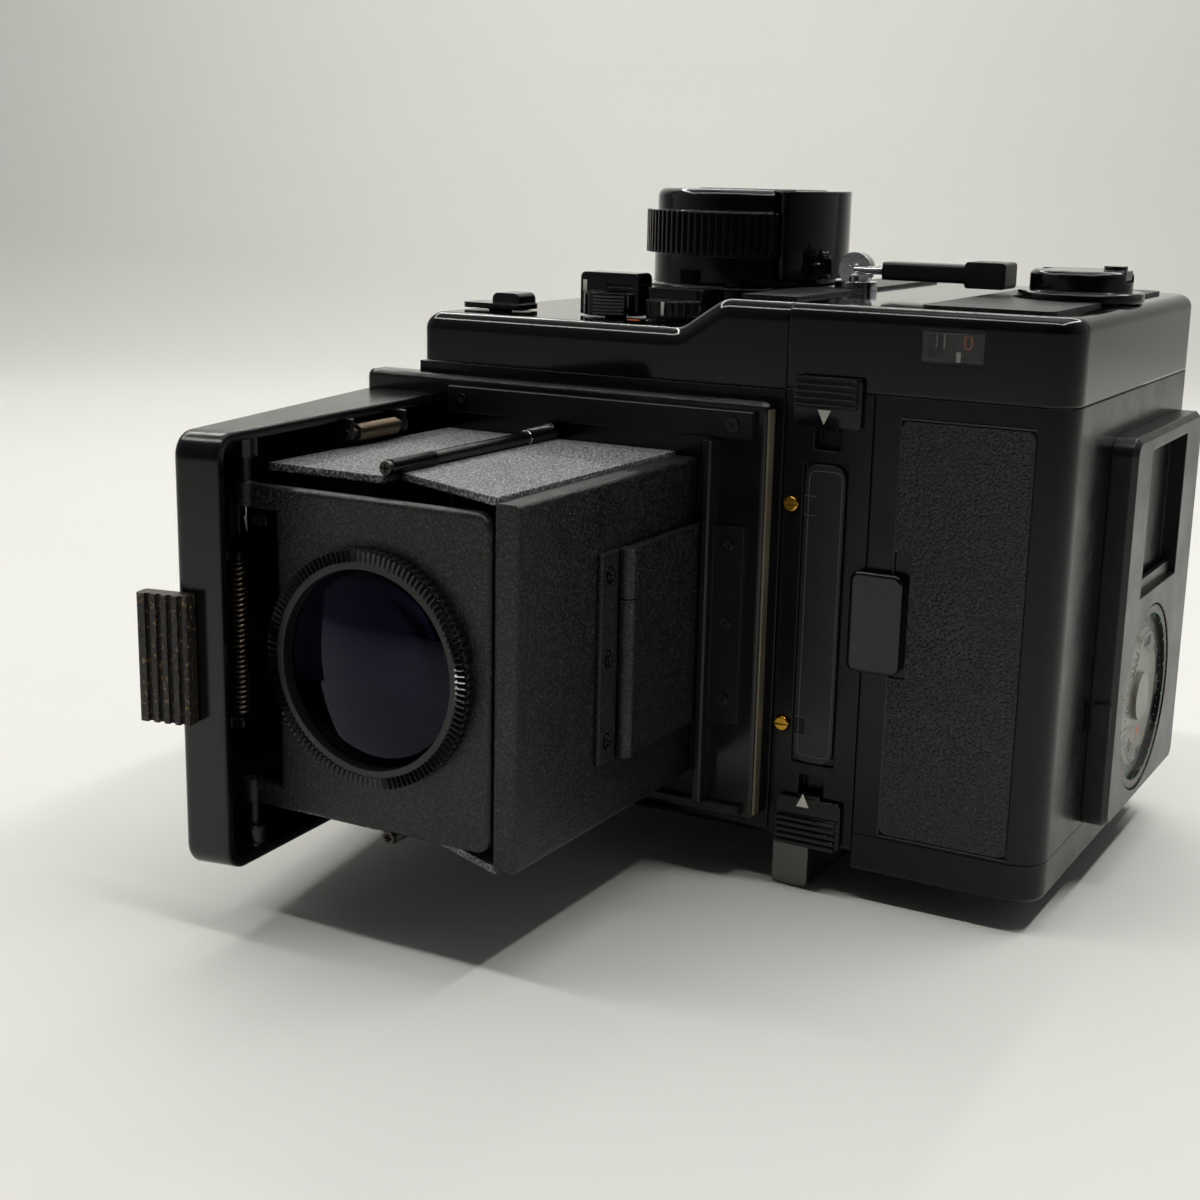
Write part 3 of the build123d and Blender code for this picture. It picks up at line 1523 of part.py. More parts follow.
def make_speed_ring():
    """The ribbed rim round the film speed dial."""
    x0 = dial_floor_x() + turn_gap
    height = holder_rear_x - x0 - 0.2
    ring = ribbed_disc((x0, speed_y, speed_z), (1, 0, 0), speed_ring_radius, height, 60, 0.35)
    return ring - rod((x0 - 1.0, speed_y, speed_z), (1, 0, 0), speed_radius, height + 2.0)


def make_dark_slide():
    """The dark slide's steel sheet."""
    return block(
        slide_x - 0.5 * slide_sheet, slide_x + 0.5 * slide_sheet, axis_y - slide_half_y,
        axis_y + slide_half_y,
        left_z - 1.0, 0.5 * frame_size + 2.0,
    )


def make_slide_grip():
    """The dark slide's grip on the left side."""
    half = 0.5 * slide_grip_thickness
    centre = slide_x - 0.6
    y0 = axis_y - slide_grip_half_y - 10.0
    y1 = axis_y + slide_grip_half_y
    grip = block(centre - half, centre + half, y0, y1, slide_grip_low_z, left_z - slide_gap)
    grip = along(grip, Axis.Y, 1.2, lambda e: e.center().Z < left_z - 2.0)
    grip -= block(
        slide_x - 0.5 * slide_sheet, slide_x + 0.5 * slide_sheet, axis_y - slide_half_y,
        axis_y + slide_half_y,
        left_z - 1.0, left_z,
    )
    return grip


def make_spool(y):
    """A 120 film spool with slotted flanges."""
    core = rod((spool_x, y, -spool_half_length), (0, 0, 1), spool_core_radius, 2.0 * spool_half_length)
    for side in (1, -1):
        z = side * spool_half_length
        core += rod((spool_x, y, z), (0, 0, -side), spool_flange_radius, spool_flange)
        core -= rod(
            (spool_x, y, z - side * (stud_length + 0.5)),
            (0, 0, side), stud_radius + pin_gap, stud_length + 1.5
        )
    core -= block(spool_x - 0.7, spool_x + 0.7, y - spool_core_radius - 1.0, y - 2.0, -20.0, 20.0)
    return core


def make_insert():
    """The film insert's two side plates with their spool studs."""
    pieces = []
    for side in (1, -1):
        inner = side * (spool_half_length + slide_gap)
        outer = side * (spool_half_length + slide_gap + insert_wall)
        plate = block(frame_rear_x, spool_x + 9.0, spool_top_y - 6.0, spool_base_y + 6.0, inner, outer)
        for y in (spool_top_y, spool_base_y):
            plate += rod((spool_x, y, inner), (0, 0, -side), stud_radius, stud_length)
        pieces.append(plate)
    return pieces


def make_pressure_plate():
    """The pressure plate behind the film gate, on a bar between the insert's side plates."""
    half = 0.5 * frame_size + 1.0
    plate = block(film_x + 0.5, film_x + 1.7, axis_y - half, axis_y + half, -half, half)
    plate += block(
        film_x + 1.7, frame_rear_x + 1.0, axis_y - plate_bar_half, axis_y + plate_bar_half,
        -plate_neck_half, plate_neck_half,
    )
    reach = spool_half_length + slide_gap
    return plate + block(
        frame_rear_x + 0.3, frame_rear_x + 1.5, axis_y - plate_bar_half, axis_y + plate_bar_half,
        -reach, reach,
    )


# Build and write every node

def build():
    """Every node's name and its solids."""
    mirror_frame, mirror_glass = make_mirror()
    hook, link_bar = make_strap_link()
    right_flaps = make_flaps(1)
    left_flaps = make_flaps(-1)
    return {
        "body_shell": [make_body_shell()],
        "winding_cover": [make_winding_cover()],
        "base_plate": [make_base_plate()],
        "side_leather": [make_cover_leather(), make_left_leather(), make_cap_leather()],
        "tripod_socket": [make_tripod_socket()],
        "battery_cover": [make_battery_cover()],
        "lens_mount": [make_lens_mount()],
        "focusing_screen": [make_screen()],
        "mirror_frame": [mirror_frame],
        "mirror_glass": [mirror_glass],
        "finder_base": [make_finder_base()],
        "finder_rails": make_finder_trim(),
        "rear_bracket": list(make_rear_bracket()),
        "rear_wall": [make_rear_wall()],
        "link_plate": list(make_link_plate()),
        "hinge_strip": [make_hinge_strip()],
        "hood_screws": make_hood_screws(),
        "hood_flaps": [*right_flaps, *left_flaps],
        "flap_rods": make_flap_rods(),
        "finder_lid": [make_lid()],
        "lid_tab": [make_lid_tab()],
        "lid_latch": [make_latch()],
        "latch_spring": [make_latch_spring()],
        "magnifier_plate": [make_magnifier_plate()],
        "magnifier_ring": [make_magnifier_ring()],
        "magnifier_glass": [make_magnifier_glass()],
        "winding_knob": [make_winding_knob()],
        "winding_crank": [make_crank_arm()],
        "mirror_lever": [make_mirror_lever()],
        "exposure_knob": [make_exposure_knob()],
        "release_slide": [make_release_slide()],
        "shutter_dial": [make_shutter_dial()],
        "release_button": [make_release_button()],
        "strap_lugs": make_lugs(),
        "strap_hook": [hook],
        "strap_link": [link_bar],
        "mount_cap": [make_mount_cap()],
        "lens_lock": [make_lens_lock()],
        "back_frame": [make_back_frame()],
        "name_strip": [make_name_strip()],
        "contact_pins": make_contact_pins(),
        "upper_catch": [make_catch(catch_upper_z, 1)],
        "lower_catch": [make_catch(catch_lower_z, -1)],
        "back_cap": [make_back_cap()],
        "counter_window": [make_counter_window()],
        "counter_drum": [make_counter_drum()],
        "film_crank": [make_film_crank()],
        "film_crank_bar": [make_film_crank_bar()],
        "back_door": [make_door(), make_door_end()],
        "door_leather": [make_door_leather()],
        "door_latch": [make_door_latch()],
        "memo_holder": [make_holder(), *make_memo_clip()],
        "speed_dial": [make_speed_dial(), make_speed_ring()],
        "dark_slide": [make_dark_slide()],
        "dark_slide_grip": [make_slide_grip()],
        "take_up_spool": [make_spool(spool_top_y)],
        "supply_spool": [make_spool(spool_base_y)],
        "film_insert": [*make_insert(), make_pressure_plate()],
    }


for node, solids in build().items():
    save(node, *solids)
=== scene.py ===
"""Looks of a 6 x 6 cm single-lens reflex camera that lies on its side with its hood open.

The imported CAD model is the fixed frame.  Its nodes keep their shapes and get procedural
finishes here, and the small fittings, marks and optics are modelled around them.
All working sizes are millimetres in the part's own frame: -Y is the way the finder opens,
-X the way the lens looks, +Z the winding side, which is uppermost as the camera lies.
"""

import logging
import math
from dataclasses import dataclass, field
from enum import Enum
from typing import Any, Dict, List, Optional, Sequence, Tuple

import bmesh
import bpy
from mathutils import Matrix, Vector


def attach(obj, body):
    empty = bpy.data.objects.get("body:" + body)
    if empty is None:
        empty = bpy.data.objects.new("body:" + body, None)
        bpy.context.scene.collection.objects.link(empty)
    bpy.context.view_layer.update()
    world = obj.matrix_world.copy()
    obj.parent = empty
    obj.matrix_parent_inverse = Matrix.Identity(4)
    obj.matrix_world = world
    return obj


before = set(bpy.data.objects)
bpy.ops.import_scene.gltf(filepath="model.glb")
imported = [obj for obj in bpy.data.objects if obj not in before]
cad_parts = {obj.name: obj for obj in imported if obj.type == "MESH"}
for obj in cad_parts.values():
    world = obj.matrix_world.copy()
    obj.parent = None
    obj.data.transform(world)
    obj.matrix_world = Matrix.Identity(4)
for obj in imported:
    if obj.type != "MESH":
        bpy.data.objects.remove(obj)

LOG = logging.getLogger("camera_looks")

Pair = Tuple[float, float]
Triple = Tuple[float, float, float]
Span = Tuple[Triple, Triple]
MM = 0.001
FLOOR_Z = -46.8
# Text size that gives figures one millimetre high
FIGURE_SCALE = 1.4
# Directions of the part's frame: away from the lens, out of the finder, and up as it lies
BACKWARDS: Triple = (1, 0, 0)
OPENING: Triple = (0, -1, 0)
UPWARDS: Triple = (0, 0, 1)
SIDES = ((1, "right"), (-1, "left"))
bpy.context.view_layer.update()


# Colour and node helpers

def srgb(code: str) -> Tuple[float, float, float, float]:
    """Turn an sRGB hex colour into linear values.

    Args:
        code: Six hex digits, with or without a leading #.

    Returns:
        Linear red, green and blue, and a full alpha.
    """
    digits = code.lstrip("#")
    out = []
    for start in (0, 2, 4):
        value = int(digits[start:start + 2], 16) / 255.0
        out.append(value / 12.92 if value <= 0.04045 else ((value + 0.055) / 1.055) ** 2.4)
    return out[0], out[1], out[2], 1.0


def add(tree: bpy.types.NodeTree, kind: str, inputs: Optional[Dict[Any, Any]] = None,
        **settings: Any) -> bpy.types.Node:
    """Add one shader node with its settings and links.

    Args:
        tree: Node tree that receives the node.
        kind: Node type without its ShaderNode prefix.
        inputs: Socket name or index to a value, or to an output socket to link.
        settings: Attributes set on the node itself.

    Returns:
        The new node.
    """
    node = tree.nodes.new("ShaderNode" + kind)
    for key, value in settings.items():
        setattr(node, key, value)
    for key, value in (inputs or {}).items():
        if isinstance(value, bpy.types.NodeSocket):
            tree.links.new(value, node.inputs[key])
        else:
            node.inputs[key].default_value = value
    return node


def per_metre(size: float) -> float:
    """Scale of a pattern whose repeat is so many millimetres."""
    return 1 / (size * MM)


# Finishes

# Repeats, in millimetres, of the slow patterns that any finish may carry
CLOUD_SIZE = 9.0
DUST_PITCH = 0.9
DRIFT_SIZE = 7.0
SCUFF_SIZE = 0.75


@dataclass(frozen=True)
class Finish:
    """A surface described by what it is made of and how it was made.

    Sizes are millimetres.  Grain is the width of the surface's relief and depth its height,
    edge the radius that handling has given its sharp edges, mottle how far the gloss varies
    and spread how far the colour does, dust the share of the area with pale specks, and
    painted sparkle how much paler the tops of the grain are painted than its valleys, a
    painted highlight of the light that catches them.  Wear is the colour that shows where
    the surface is rubbed through.
    """

    name: str
    colour: str
    roughness: float
    metallic: float = 0.0
    ior: float = 1.5
    coat: float = 0.0
    edge: float = 0.0
    grain: float = 0.0
    depth: float = 0.0
    mottle: float = 0.15
    spread: float = 0.18
    dust: float = 0.0
    dust_colour: str = "8d8a82"
    fleck: float = 0.0
    wear: str = ""

    def build(self) -> bpy.types.Material:
        """Make the material.

        Returns:
            The finished material.
        """
        material = bpy.data.materials.new(self.name)
        material.use_nodes = True
        tree = material.node_tree
        tree.nodes.clear()
        place = add(tree, "TexCoord").outputs["Object"]
        shader = add(tree, "BsdfPrincipled", {
            "Base Color": srgb(self.colour), "Metallic": self.metallic, "Roughness": self.roughness,
            "Coat Weight": self.coat, "Coat Roughness": 0.05})
        if self.metallic == 0.0:
            shader.inputs["IOR"].default_value = self.ior
        self.dress(tree, place, shader)
        add(tree, "OutputMaterial", {"Surface": shader.outputs["BSDF"]})
        return material

    def dress(self, tree: bpy.types.NodeTree, place: bpy.types.NodeSocket,
              shader: bpy.types.Node) -> None:
        """Link colour, roughness and relief to the shader.

        Args:
            tree: The material's tree.
            place: Object coordinates.
            shader: The surface shader.
        """
        cloud = add(tree, "TexNoise", {"Vector": place, "Scale": per_metre(CLOUD_SIZE), "Detail": 4.0})
        colour = self.tint(tree, place, cloud.outputs["Fac"])
        rough = add(tree, "MapRange", {
            0: cloud.outputs["Fac"], 1: 0.3, 2: 0.7,
            3: self.roughness * (1 - self.mottle), 4: self.roughness * (1 + self.mottle)}).outputs[0]
        if self.dust:
            mask = self.specks(tree, place)
            colour = add(tree, "Mix", {"Factor": mask, 6: colour, 7: srgb(self.dust_colour)},
                         data_type="RGBA").outputs[2]
            rough = add(tree, "Mix", {"Factor": mask, 2: rough, 3: 0.7}).outputs[0]
        # Painted sparkle: the tops of the grain are painted paler, towards the dust colour, as a painted
        # highlight of the light on them.
        if self.fleck:
            tops = add(tree, "TexNoise", {"Vector": place, "Scale": per_metre(self.grain), "Detail": 1.0})
            share = add(tree, "MapRange", {0: tops.outputs["Fac"], 1: 0.46, 2: 0.76, 3: 0.0, 4: self.fleck})
            colour = add(tree, "Mix", {"Factor": share.outputs[0], 6: colour, 7: srgb(self.dust_colour)},
                         data_type="RGBA").outputs[2]
        if self.wear:
            colour = add(tree, "Mix", {"Factor": self.scuffs(tree, place), 6: colour, 7: srgb(self.wear)},
                         data_type="RGBA").outputs[2]
        tree.links.new(colour, shader.inputs["Base Color"])
        tree.links.new(rough, shader.inputs["Roughness"])
        normal = None
        if self.edge:
            normal = add(tree, "Bevel", {"Radius": self.edge * MM}, samples=6).outputs[0]
        if self.grain:
            bump = add(tree, "Bump", {"Height": self.relief(tree, place), "Strength": 1.0,
                                      "Distance": self.depth * MM})
            if normal:
                tree.links.new(normal, bump.inputs["Normal"])
            normal = bump.outputs[0]
        if normal:
            tree.links.new(normal, shader.inputs["Normal"])

    def tint(self, tree: bpy.types.NodeTree, place: bpy.types.NodeSocket,
             cloud: bpy.types.NodeSocket) -> bpy.types.NodeSocket:
        """Vary the colour slightly over the surface.

        Args:
            tree: The material's tree.
            place: Object coordinates.
            cloud: A slow noise.

        Returns:
            The colour socket.
        """
        base = Vector(srgb(self.colour)[:3])
        low = (*(base * (1 - self.spread)), 1.0)
        high = (*(base * (1 + self.spread)), 1.0)
        return add(tree, "Mix", {"Factor": cloud, 6: low, 7: high}, data_type="RGBA").outputs[2]

    def relief(self, tree: bpy.types.NodeTree, place: bpy.types.NodeSocket) -> bpy.types.NodeSocket:
        """Give the height of the fine grain.

        Args:
            tree: The material's tree.
            place: Object coordinates.

        Returns:
            The height socket.
        """
        return add(tree, "TexNoise", {"Vector": place, "Scale": per_metre(self.grain), "Detail": 2.0,
                                      "Roughness": 0.6}).outputs["Fac"]

    def specks(self, tree: bpy.types.NodeTree, place: bpy.types.NodeSocket) -> bpy.types.NodeSocket:
        """Mask small pale grains of dust that lie in drifts.

        Args:
            tree: The material's tree.
            place: Object coordinates.

        Returns:
            A mask from 0 to 1.
        """
        grains = add(tree, "TexVoronoi", {"Vector": place, "Scale": per_metre(DUST_PITCH)})
        dots = add(tree, "MapRange", {0: grains.outputs["Distance"], 1: 0.05, 2: 0.13, 3: 1.0, 4: 0.0})
        drift = add(tree, "TexNoise", {"Vector": place, "Scale": per_metre(DRIFT_SIZE), "Detail": 3.0})
        patch = add(tree, "MapRange", {0: drift.outputs["Fac"], 1: 0.50, 2: 0.72, 3: 0.0, 4: self.dust})
        return add(tree, "Math", {0: dots.outputs[0], 1: patch.outputs[0]}, operation="MULTIPLY").outputs[0]

    def scuffs(self, tree: bpy.types.NodeTree, place: bpy.types.NodeSocket) -> bpy.types.NodeSocket:
        """Mask the spots that handling has rubbed down to what is underneath.

        Args:
            tree: The material's tree.
            place: Object coordinates.

        Returns:
            A mask from 0 to 1.
        """
        spots = add(tree, "TexNoise", {"Vector": place, "Scale": per_metre(SCUFF_SIZE), "Detail": 5.0,
                                       "Roughness": 0.7})
        return add(tree, "MapRange", {0: spots.outputs["Fac"], 1: 0.57, 2: 0.64, 3: 0.0, 4: 0.85}).outputs[0]


@dataclass(frozen=True)
class Leatherette(Finish):
    """Embossed vinyl: round pebbles with darker valleys and a faint sheen, painted paler, on their tops.

    The pebbles are pushed out of line by a slow noise and carry a fine grain of their own.
    """

    push_size: float = 1.1
    push: float = 0.12
    fine: float = 0.22
    fine_share: float = 0.15

    def relief(self, tree: bpy.types.NodeTree, place: bpy.types.NodeSocket) -> bpy.types.NodeSocket:
        """Give the height of the pebbles.

        Args:
            tree: The material's tree.
            place: Object coordinates.

        Returns:
            The height socket.
        """
        warp = add(tree, "TexNoise", {"Vector": place, "Scale": per_metre(self.push_size), "Detail": 1.0})
        shift = add(tree, "VectorMath", {0: warp.outputs["Color"], 3: self.push * MM}, operation="SCALE")
        moved = add(tree, "VectorMath", {0: place, 1: shift.outputs[0]}, operation="ADD")
        pebble = add(tree, "TexVoronoi", {"Vector": moved.outputs[0], "Scale": per_metre(self.grain),
                                          "Smoothness": 0.25}, feature="SMOOTH_F1")
        dome = add(tree, "MapRange", {0: pebble.outputs["Distance"], 1: 0.08, 2: 0.60, 3: 1.0, 4: 0.0})
        fine = add(tree, "TexNoise", {"Vector": place, "Scale": per_metre(self.fine), "Detail": 2.0})
        return add(tree, "Mix", {"Factor": self.fine_share, 2: dome.outputs[0],
                                 3: fine.outputs["Fac"]}).outputs[0]


@dataclass(frozen=True)
class TurnedMetal(Finish):
    """Machined metal: the hair-fine lines of its tool, all along Z, streak the reflections.

    The lines are drawn some tenths of a millimetre wide, coarser than real, so that they show.
    """

    stretch: float = 0.06

    def relief(self, tree: bpy.types.NodeTree, place: bpy.types.NodeSocket) -> bpy.types.NodeSocket:
        """Give the height of the tool lines, a noise drawn out along Z.

        Args:
            tree: The material's tree.
            place: Object coordinates.

        Returns:
            The height socket.
        """
        stretched = add(tree, "Mapping", {"Vector": place, "Scale": (1.0, 1.0, self.stretch)})
        return add(tree, "TexNoise", {"Vector": stretched.outputs[0], "Scale": per_metre(self.grain),
                                      "Detail": 2.0}).outputs["Fac"]


@dataclass(frozen=True)
class TwoToneDial(Finish):
    """A pale turned scale inside a black ring, told apart by the distance from their axis."""

    centre: Triple = (0.0, 0.0, 0.0)
    split: float = 12.0
    outer: str = "#111112"
    blur: float = 0.05

    def tint(self, tree: bpy.types.NodeTree, place: bpy.types.NodeSocket,
             cloud: bpy.types.NodeSocket) -> bpy.types.NodeSocket:
        """Colour the ring apart from the scale.

        Args:
            tree: The material's tree.
            place: Object coordinates.
            cloud: A slow noise.

        Returns:
            The colour socket.
        """
        shift = tuple(-value * MM for value in self.centre)
        moved = add(tree, "Mapping", {"Vector": place, "Location": shift})
        flat = add(tree, "VectorMath", {0: moved.outputs[0], 1: (0.0, 1.0, 1.0)}, operation="MULTIPLY")
        reach = add(tree, "VectorMath", {0: flat.outputs[0]}, operation="LENGTH").outputs["Value"]
        edge = add(tree, "MapRange", {0: reach, 1: (self.split - self.blur) * MM,
                                      2: (self.split + self.blur) * MM, 3: 0.0, 4: 1.0})
        pale = super().tint(tree, place, cloud)
        return add(tree, "Mix", {"Factor": edge.outputs[0], 6: pale, 7: srgb(self.outer)},
                   data_type="RGBA").outputs[2]


@dataclass(frozen=True)
class Glass:
    """Clear optical glass with a thin coating that colours what it mirrors.

    The coating's share is what it mirrors face on, and three times that at a glance.
    """

    name: str
    colour: str
    coating: str
    coating_share: float
    roughness: float = 0.0
    ior: float = 1.52
    level: float = 0.5

    def build(self) -> bpy.types.Material:
        """Make the material.

        Returns:
            The finished material.
        """
        material = bpy.data.materials.new(self.name)
        material.use_nodes = True
        tree = material.node_tree
        tree.nodes.clear()
        body = add(tree, "BsdfPrincipled", {
            "Base Color": srgb(self.colour), "Roughness": self.roughness, "IOR": self.ior,
            "Specular IOR Level": self.level, "Transmission Weight": 1.0})
        film = add(tree, "BsdfPrincipled", {
            "Base Color": srgb(self.coating), "Roughness": 0.03, "Metallic": 1.0})
        facing = add(tree, "LayerWeight", {"Blend": 0.35})
        share = add(tree, "MapRange", {0: facing.outputs["Facing"], 1: 0.0, 2: 1.0,
                                       3: self.coating_share, 4: self.coating_share * 3.0})
        mix = add(tree, "MixShader", {0: share.outputs[0], 1: body.outputs[0], 2: film.outputs[0]})
        add(tree, "OutputMaterial", {"Surface": mix.outputs[0]})
        return material


class Surface(Enum):
    """Every finish on the camera, by what it is."""

    # Polished black ABS covers: crisp white reflections on rounded edges, on a slow moulded ripple.
    GLOSS_ABS = Finish("polished_black_abs", "#050506", 0.07, ior=1.38, coat=0.20, edge=0.55, grain=3.0,
                       depth=0.006, dust=0.10, mottle=0.25)
    # Anodised rim round the magnifier, a little greyer than the plate.
    RIM_METAL = Finish("satin_anodised_rim", "#191918", 0.30, ior=1.45, edge=0.25, grain=0.4, depth=0.006)
    # Moulded black ABS with the spark texture of its tool, drawn coarser than real so that it shows.
    SATIN_ABS = Finish("moulded_black_abs", "#101011", 0.32, ior=1.46, edge=0.35, grain=0.20, depth=0.010,
                       dust=0.12)
    # Baked enamel on die-cast alloy: smooth, softly glossy, faintly uneven.
    ENAMEL = Finish("black_enamel_on_alloy", "#060607", 0.24, ior=1.34, edge=0.40, grain=0.8, depth=0.004,
                    dust=0.14, mottle=0.25)
    # Matt paint of the pressed hood panels: a dull fine grit, drawn coarser than real so that it shows, with
    # pale dust specks, and the tops of the grit painted a little paler as a painted sparkle.
    HOOD_PAINT = Finish("fine_matt_black_paint", "#070808", 0.40, ior=1.44, edge=0.70, grain=0.38,
                        depth=0.10, dust=0.75, dust_colour="#a5a7a8", fleck=0.09)
    # The same paint on the side leaves, with pale dust specks, its colour painted light grey as a painted
    # sheen of the light that grazes them, its grain tops painted paler as a painted sparkle, and drawn as
    # coarse.
    LEAF_PAINT = Finish("dusty_matt_black_paint_with_painted_sheen", "#404244", 0.52, edge=0.40, grain=0.42, depth=0.16,
                        dust=0.9, dust_colour="#dcdee0", fleck=0.62)
    # Satin paint of the lid, smoother than the panels: a broad soft reflection.
    LID_PAINT = Finish("satin_black_paint", "#070808", 0.17, ior=1.46, edge=1.10, grain=0.5, depth=0.006,
                       dust=0.12)
    # Black moulding rubbed through to pale filler on its ridges.
    WORN_TAB = Finish("rubbed_black_moulding", "#131212", 0.42, edge=0.15, grain=0.3, depth=0.05, dust=0.3,
                      wear="#a07a42")
    # Pebbled vinyl covering: half-millimetre pebbles with pale dust specks, their tops painted paler as a
    # painted sheen.
    VINYL = Leatherette("pebbled_black_vinyl", "#0c0d0f", 0.38, ior=1.46, grain=0.50, depth=0.10, dust=0.75,
                        dust_colour="#84898f", fleck=0.12)
    # Black anodised aluminium, lightly turned: a grey sheen along its edges.
    BLACK_ANODISED = TurnedMetal("black_anodised_aluminium", "#0c0d0e", 0.34, ior=1.42, edge=0.15, grain=0.12,
                                 depth=0.008, dust=0.12)
    # Bare ground steel: streaked and softly bright.
    STEEL = TurnedMetal("ground_steel", "#8b8a86", 0.30, metallic=1.0, edge=0.08, grain=0.15, depth=0.006)
    # Dark burnished screws, bright only on their rims.
    SCREW_STEEL = TurnedMetal("burnished_screw_steel", "#4a4743", 0.28, metallic=1.0, edge=0.10, grain=0.15,
                              depth=0.008)
    # Polished chromium plate: it mirrors the room.
    CHROME = Finish("chromium_plate", "#c9cacb", 0.09, metallic=1.0, edge=0.15, grain=1.2, depth=0.003)
    # Dull nickelled grip of the dark slide.
    NICKEL = TurnedMetal("dull_nickel", "#6d6e6a", 0.36, metallic=1.0, edge=0.3, grain=0.2, depth=0.01)
    # Spring wire with a trace of tarnish.
    SPRING_WIRE = Finish("tarnished_spring_steel", "#7d6f5f", 0.30, metallic=1.0, grain=0.5, depth=0.01)
    # Turned brass contact heads, warm and bright.
    BRASS = TurnedMetal("turned_brass", "#d6a33c", 0.22, metallic=1.0, edge=0.2, grain=0.15, depth=0.01)
    # Die-cast edge whose paint has gone: dull grey alloy.
    BARE_EDGE = Finish("bare_cast_edge", "#7d7664", 0.42, metallic=0.6, grain=0.4, depth=0.02, mottle=0.3)
    # Painted-in marks: flat, a little uneven.
    WHITE_INK = Finish("white_fill_paint", "#d8d6cc", 0.50, grain=0.3, depth=0.01)
    ORANGE_INK = Finish("orange_fill_paint", "#d8671f", 0.50, grain=0.3, depth=0.01)
    GREEN_INK = Finish("green_fill_paint", "#2f9a55", 0.50, grain=0.3, depth=0.01)
    BLACK_INK = Finish("black_print", "#1b1b1b", 0.50, grain=0.3, depth=0.01)
    # Painted highlight: a faint grey laid on thin raised edges, lips and ridges, standing in for the light
    # that they catch.
    GREY_LINE = Finish("grey_painted_edge_highlight", "#4c4f52", 0.45, grain=0.3, depth=0.01)
    # Rolled edge of the door's covering, a little shinier than its face, its lighter grey a painted highlight
    # along the roll.
    BEAD = Finish("rolled_vinyl_edge", "#26282a", 0.30, grain=0.4, depth=0.01)
    # Satin paint of fine ridges and windings, which catch the light.
    RIM_PAINT = Finish("satin_rim_paint", "#0a0b0c", 0.16, grain=0.4, depth=0.004)
    # Pale printed scale plate in its black ring.
    SPEED_DIAL = TwoToneDial("printed_speed_scale", "#77776f", 0.34, edge=0.1, grain=0.3, depth=0.004,
                             centre=(84.0, -39.0, -15.4), split=12.6)
    # Painted shade: a flat dull black laid where slots and recesses are, standing in for the shade inside
    # them.
    DEAD_BLACK = Finish("painted_recess_shade", "#08080a", 0.85, grain=0.3, depth=0.03)
    # Grey paper card: dull and fibrous.
    CARD = Finish("grey_carton_card", "#5c5e58", 0.80, grain=0.4, depth=0.02)
    # Coated glass: its coating mirrors little, so the IOR that sets the mirroring is low.  Its body is tinted
    # a dark violet grey, a painted shade that darkens what is seen through it.
    MAGNIFIER = Glass("coated_magnifier_glass", "#5a5a82", "#5c54b4", 0.012, ior=1.24)
    # Clear acrylic over the frame numbers.
    WINDOW = Glass("clear_window_acrylic", "#f4f4f2", "#c8ccd0", 0.010, ior=1.49)
    # Ground glass of the focusing screen, dark because no light comes from under it.
    GROUND = Glass("ground_focusing_glass", "#0d0e0d", "#3a3b3a", 0.0, roughness=0.42, level=0.12)
    # Front-silvered mirror.
    MIRROR = Finish("front_silvered_mirror", "#e6e8e8", 0.03, metallic=1.0)


NODE_FINISH: Dict[Surface, Tuple[str, ...]] = {
    Surface.GLOSS_ABS: ("winding_cover", "back_cap", "winding_knob", "winding_crank", "mirror_lever",
                        "exposure_knob", "release_slide", "film_crank", "film_crank_bar", "door_latch",
                        "upper_catch", "lower_catch", "battery_cover", "lens_lock", "lid_latch"),
    Surface.RIM_METAL: ("magnifier_ring",),
    Surface.SATIN_ABS: ("name_strip", "memo_holder", "strap_link", "take_up_spool", "supply_spool",
                        "shutter_dial", "counter_drum", "mount_cap"),
    Surface.ENAMEL: ("body_shell", "base_plate", "back_frame", "back_door"),
    Surface.LEAF_PAINT: ("hood_flaps",),
    Surface.HOOD_PAINT: ("rear_wall", "magnifier_plate", "link_plate", "hinge_strip"),
    Surface.LID_PAINT: ("finder_lid", "finder_base", "flap_rods"),
    Surface.WORN_TAB: ("lid_tab",),
    Surface.VINYL: ("side_leather", "door_leather"),
    Surface.BLACK_ANODISED: ("finder_rails", "rear_bracket", "mirror_frame", "film_insert"),
    Surface.STEEL: ("tripod_socket", "lens_mount", "dark_slide"),
    Surface.SCREW_STEEL: ("hood_screws",),
    Surface.CHROME: ("release_button", "strap_lugs", "strap_hook"),
    Surface.NICKEL: ("dark_slide_grip",),
    Surface.SPRING_WIRE: ("latch_spring",),
    Surface.BRASS: ("contact_pins",),
    Surface.SPEED_DIAL: ("speed_dial",),
    Surface.MAGNIFIER: ("magnifier_glass",),
    Surface.WINDOW: ("counter_window",),
    Surface.GROUND: ("focusing_screen",),
    Surface.MIRROR: ("mirror_glass",),
}


class Paintbox:
    """Builds each finish once and hands it out."""

    def __init__(self) -> None:
        """Start with no material built."""
        self._built: Dict[Surface, bpy.types.Material] = {}

    def get(self, surface: Surface) -> bpy.types.Material:
        """Give the material of a surface, building it on first use.

        Args:
            surface: The finish that is asked for.

        Returns:
            Its material.
        """
        if surface not in self._built:
            self._built[surface] = surface.value.build()
        return self._built[surface]


PAINT = Paintbox()


# Mesh helpers

